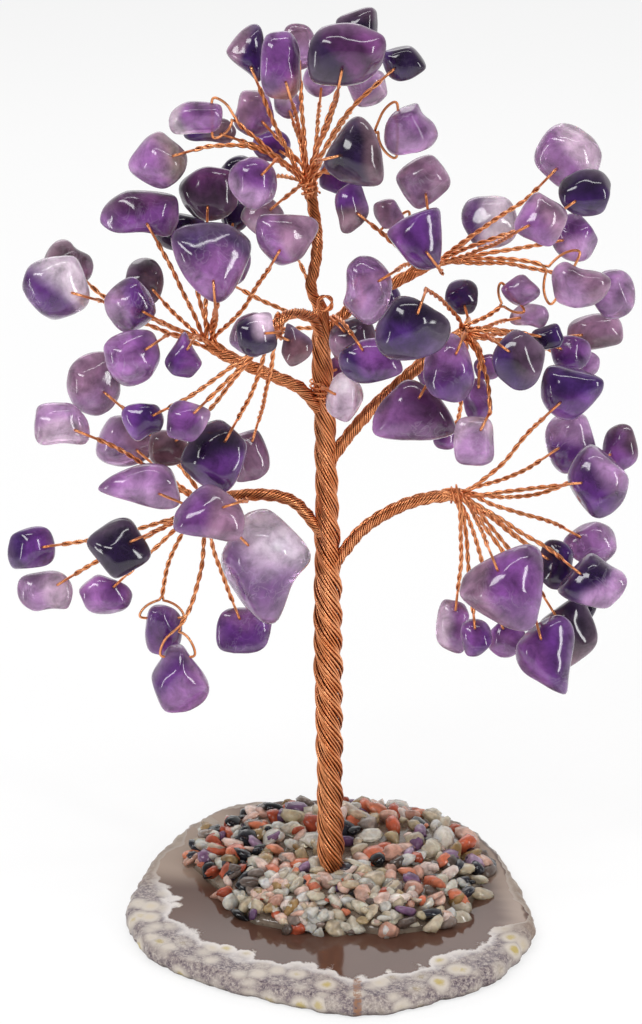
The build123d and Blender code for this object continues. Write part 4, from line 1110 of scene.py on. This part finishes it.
def grain(place, size, lengths, seed, tilt):
    """A tumbled grain: an ellipsoid as a function of two angles, ground by flat cuts, turned by
    its tilt and moved to its place."""
    rows, columns = GRAIN_GRID
    rise = np.linspace(-np.pi / 2 + 0.12, np.pi / 2 - 0.12, rows)
    around = np.linspace(0, FULL_TURN, columns, endpoint=False)
    rise, around = np.meshgrid(rise, around, indexing="ij")
    points = np.stack([np.cos(rise) * np.cos(around), np.cos(rise) * np.sin(around), np.sin(rise)], axis=-1)
    points = ground(points.reshape(-1, 3), seed, *GRAIN_CUTS) * np.array(lengths) * size / 2
    return turned(points, tilt) + place, ring_faces(rows, columns)


def crumb_mineral(x, y, random):
    """The mineral of a crumb at a place: quartz in front, carnelian and amethyst behind the
    trunk, black tourmaline at both ends."""
    share = random.uniform()
    if x < -15 * MM and share < 0.5 or x > 21 * MM and share < 0.28:
        return "tourmaline"
    kinds = FRONT_CRUMBS if y < -3 * MM else BACK_CRUMBS
    return kinds[random.integers(len(kinds))]


def heap_height(share):
    """The heap's height at a share of the way to its rim."""
    inner, outer = HEAP_POWERS
    return HEAP_HEIGHT * (1 - share ** inner) ** outer


class PourChips(bpy.types.Operator):
    """Chips of seven minerals and the crumbs between them, over the heap of glue"""
    bl_idname = "gem_tree.chips"
    bl_label = "Chips"

    def execute(self, context):
        rim = np.array([seen_on_level(x, y, SLICE_THICKNESS)[:2] for x, y in HEAP_PX])
        pieces = {}
        for number in range(CHIP_COUNT + context.scene.tree_base.crumbs):
            mineral, part = self.chip(number, rim)
            pieces.setdefault(mineral, []).append(part)
        for mineral, parts in pieces.items():
            grit = [tumbled_gem_grit(GRIT_LOOKS.get(mineral, "dense"))]
            make_piece(f"chips_{mineral}_tumbled", parts, grit, "base", f"chips_{mineral}")
        # Glue: the heap's own surface drawn in and down a little, so that chips cover it
        shares = np.linspace(1.0, 0.01, GLUE_GRID[0])
        turns = np.linspace(0, FULL_TURN, GLUE_GRID[1], endpoint=False)
        reach = np.array([way_out(rim, (math.cos(a), math.sin(a))) for a in turns]) * GLUE_SHARES[0]
        shares, turns = np.meshgrid(shares, turns, indexing="ij")
        level = SLICE_THICKNESS + GLUE_SHARES[1] * heap_height(shares)
        heap = np.stack([reach * shares * np.cos(turns), reach * shares * np.sin(turns), level], axis=-1)
        under = heap[:1] * (0.97, 0.97, 1) - (0, 0, GLUE_SUNK)
        bottom = heap[-1:] * (1, 1, 0) + (0, 0, SLICE_THICKNESS - GLUE_SUNK)
        heap = np.concatenate([bottom, under, heap]).reshape(-1, 3)
        faces = ring_faces(GLUE_GRID[0] + 2, GLUE_GRID[1])
        make_piece("glue_bed_set", [(heap, faces)], [set_clear_resin()], "base", "glue_bed")
        return {"FINISHED"}

    def chip(self, number, rim):
        """The mineral and the mesh of one chip or crumb: chips lie on a sunflower's spiral, and
        crumbs in unordered places."""
        random = np.random.default_rng(number)
        is_chip = number < CHIP_COUNT
        if is_chip:
            share = CHIP_REACH_SHARE * math.sqrt((number + CHIP_FIRST) / (CHIP_COUNT + CHIP_FIRST))
            angle = math.radians(number * GOLDEN_TURN)
        else:
            share, angle = random.uniform(0.01, 1.0) ** 0.5, random.uniform(0, FULL_TURN)
        reach = way_out(rim, (math.cos(angle), math.sin(angle)))
        x, y = reach * share * math.cos(angle), reach * share * math.sin(angle)
        height = SLICE_THICKNESS + heap_height(min(share, 1))
        if is_chip:
            room = reach * CHIP_REACH_SHARE * math.sqrt(math.pi / (CHIP_COUNT + CHIP_FIRST))
            size = room * share_of(number * 5, *CHIP_SIZE_SHARES) * CHIP_GROWTH
            height += size * (0.3 - CHIP_SEAT_SHARE)
            mineral = CHIP_MINERALS[number * 5 % len(CHIP_MINERALS)]
        else:
            size = random.uniform(*CRUMB_MM) * MM
            height += random.uniform(0.1, 1.0) * MM * (1 - share ** 4)
            mineral = crumb_mineral(x, y, random)
        lengths = (GRAIN_LENGTHS[0], *(random.uniform(*span) for span in GRAIN_LENGTHS[1:]))
        tilt = random.uniform(-1, 1, 3) * GRAIN_TILT
        points, faces = grain((x, y, height), size, lengths, number, tilt)
        middle, darker, lighter = (np.array(linear(colour)) for colour in MINERALS[mineral])
        mix = random.uniform(0, 1)
        tone = middle + ((darker if random.uniform() < 0.5 else lighter) - middle) * mix
        shade = 1 + 0.25 * clouds(points, number, 1.6 * MM)[:, None]
        return mineral, (points, faces, {"tint": np.clip(tone * shade, 0, 1)})


class PolishSlice(bpy.types.Operator):
    """The agate slice: a polished face, a border of moss spots and a rough edge"""
    bl_idname = "gem_tree.slice"
    bl_label = "Agate slice"

    def execute(self, context):
        around, nothing = SLICE_AROUND, np.zeros(SLICE_AROUND)
        top = closed_curve([seen_on_level(x, y, SLICE_THICKNESS)[:2] for x, y in SLICE_PX], around)
        middle = top.mean(axis=0)
        out = unit(top - middle)
        turn = np.arctan2(out[:, 1], out[:, 0])
        level = np.column_stack([top, nothing])
        reach = np.linalg.norm(top - middle, axis=1) - 0.3 * MM
        reach = reach + 0.25 * MM * clouds(level, 5, 4 * MM) + 0.12 * MM * clouds(level, 6, 1.6 * MM)

        def near(direction, half, soft):
            """1 within half a turn's width of a direction, falling to 0 over a soft width beyond it."""
            return eased((half - np.abs(np.angle(np.exp(1j * (turn - direction))))) / soft + 1)

        def rusty(place):
            """1 on the narrow streak of rust that crosses the front of the border."""
            off = np.abs(place[:, 0] - RUST_X) / (0.9 * MM)
            return eased(1.6 - off) * (out[:, 1] < 0)

        # The border is broad at the front and left, and a thin line at the right and the back
        broad, corner, right = near(-1.85, 1.2, 0.45), near(2.45, 0.3, 0.3), near(0.25, 0.4, 0.6)
        width = (1.8 + 7.4 * broad + 1.6 * clouds(level, 8, 12 * MM)) * MM
        rings = []  # each a ring's place and height, and its border, pale, rust and skin
        for share in 1 - (1 - np.linspace(0.02, 1, 40)) ** 1.7:
            edge = reach * (1 - share) * 0.97 + 2 * MM
            place = middle + out * (reach - edge if share > 0.05 else reach * 0.02)[:, None]
            pale = corner * eased(1.6 - edge / (13 * MM)) + 0.8 * right * eased(1.5 - edge / (5 * MM))
            rust = rusty(place) * (edge < 8 * MM)
            rings.append((place, SLICE_THICKNESS, edge / width, pale, rust, nothing))
        for inset, height in SLICE_EDGE:
            bumps = 0.14 * MM * clouds(level + (0, 0, height * MM), 9, 1.8 * MM) * (0 < height < 3.7)
            place = middle + out * (reach - inset * MM + bumps)[:, None]
            border = inset * MM / width * (height > 1.5)
            skin = np.full(around, min(max(1.25 - height, 0), 1.0))
            rings.append((place, height * MM, border, corner * 0.7, rusty(place), skin))
        for share in (0.6, 0.02):
            place = middle + out * (reach * share)[:, None]
            rings.append((place, 0.0, nothing, nothing, nothing, np.ones(around)))
        rings = rings[::-1]
        grid = np.stack([np.column_stack([place, np.full(around, height)]) for place, height, *_ in rings])
        values = {key: np.stack([ring[k] for ring in rings])
                  for k, key in enumerate(SLICE_VALUES[:4], start=2)}
        values["thin"] = np.broadcast_to(np.clip(1 - broad * 1.4, 0, 1) * 0.75, values["skin"].shape)
        if np.cross(top[1] - top[0], top[0] - middle) > 0:
            grid, values = grid[:, ::-1], {key: value[:, ::-1] for key, value in values.items()}
        values = {key: value.ravel() for key, value in values.items()}
        part = (grid.reshape(-1, 3), ring_faces(len(rings), around), values)
        make_piece("agate_slice_polished", [part], [polished_agate_slice()], "base", "agate_slice")
        return {"FINISHED"}


class SetStage(bpy.types.Operator):
    """Pale floor, white surroundings, soft lamps and the camera at the photograph's eye"""
    bl_idname = "gem_tree.stage"
    bl_label = "Stage"

    def execute(self, context):
        scene, props = context.scene, context.scene.tree_stage
        bpy.ops.mesh.primitive_plane_add(size=20)
        floor = context.object
        floor.name = "floor"
        floor.data.materials.append(matt_white_floor())
        self.surround(scene, props.sky)
        for name, place, size, power in LAMPS:
            lamp = bpy.data.lights.new(name, "AREA")
            lamp.shape, lamp.size, lamp.size_y, lamp.energy = "RECTANGLE", *size, power * props.lamps
            holder = bpy.data.objects.new(name, lamp)
            scene.collection.objects.link(holder)
            holder.visible_camera = False
            z = unit(np.array(place) - (0, 0, 0.1))
            x = unit(np.cross((0, 0, 1), z))
            y = np.cross(z, x)
            rows = [(x[k], y[k], z[k], place[k]) for k in range(3)]
            holder.matrix_world = Matrix(rows + [(0, 0, 0, 1)])
        camera = bpy.data.objects.new("camera", bpy.data.cameras.new("camera"))
        scene.collection.objects.link(camera)
        camera.data.sensor_fit = "VERTICAL"
        camera.data.angle = 2 * math.atan(PICTURE_PX[1] / 2 / FOCAL_PX)
        camera.data.clip_start, camera.data.clip_end = 0.05, 20
        camera.location = eye()
        camera.rotation_euler = (math.pi / 2 - EYE_PITCH, 0, 0)
        scene.camera = camera
        scene.view_settings.view_transform = "Standard"
        return {"FINISHED"}

    def surround(self, scene, sky):
        """White surroundings: full for what the camera sees, also through clear stone, dimmer as
        light, and in reflections dim in front of the object and white behind it."""
        scene.world = bpy.data.worlds.new("white_surroundings")
        scene.world.use_nodes = True
        tree = scene.world.node_tree
        tree.nodes.clear()
        ray = add(tree, "LightPath").outputs
        seen_white = computed(tree, "MAXIMUM", ray["Is Camera Ray"], ray["Is Transmission Ray"])
        way = add(tree, "SeparateXYZ", {0: add(tree, "TexCoord").outputs["Generated"]}).outputs
        backdrop = ranged(tree, way[1], -0.1, 0.75, 0.16, 1.0)
        mirror = add(tree, "Mix", {0: ray["Is Glossy Ray"], 2: sky, 3: backdrop})
        strength = add(tree, "Mix", {0: seen_white, 2: mirror, 3: 1.0})
        shine = add(tree, "Background", {"Color": (1, 1, 1, 1), "Strength": strength})
        add(tree, "OutputWorld", {"Surface": shine})


class TreePanel(bpy.types.Panel):
    """Sizes, colours and operators of the gemstone tree"""
    bl_idname = "VIEW3D_PT_gem_tree"
    bl_label = "Gemstone tree"
    bl_space_type = "VIEW_3D"
    bl_region_type = "UI"
    bl_category = "Gemstone tree"

    def draw(self, context):
        for attribute, group in GROUPS.items():
            for key in group.__annotations__:
                self.layout.prop(getattr(context.scene, attribute), key)
        for operator in OPERATORS:
            self.layout.operator(operator.bl_idname)


GROUPS = {"tree_wire": TreeWire, "tree_stones": TreeStones, "tree_base": TreeBase, "tree_stage": TreeStage}
OPERATORS = (SetStage, PolishSlice, PourChips, TwistTrunk, TwistRopes, WindHubs, TwistStems, GrowStones)


def register():
    """Adds the classes and the scene's properties."""
    for item in (*GROUPS.values(), *OPERATORS, TreePanel):
        bpy.utils.register_class(item)
    for attribute, group in GROUPS.items():
        setattr(bpy.types.Scene, attribute, PointerProperty(type=group))


def unregister():
    """Takes them away again."""
    for attribute in GROUPS:
        delattr(bpy.types.Scene, attribute)
    for item in (TreePanel, *OPERATORS[::-1], *list(GROUPS.values())[::-1]):
        bpy.utils.unregister_class(item)


def main():
    """Makes every piece and the stage."""
    register()
    for operator in OPERATORS:
        getattr(bpy.ops.gem_tree, operator.bl_idname.split(".")[1])()


if __name__ == "__main__":
    main()
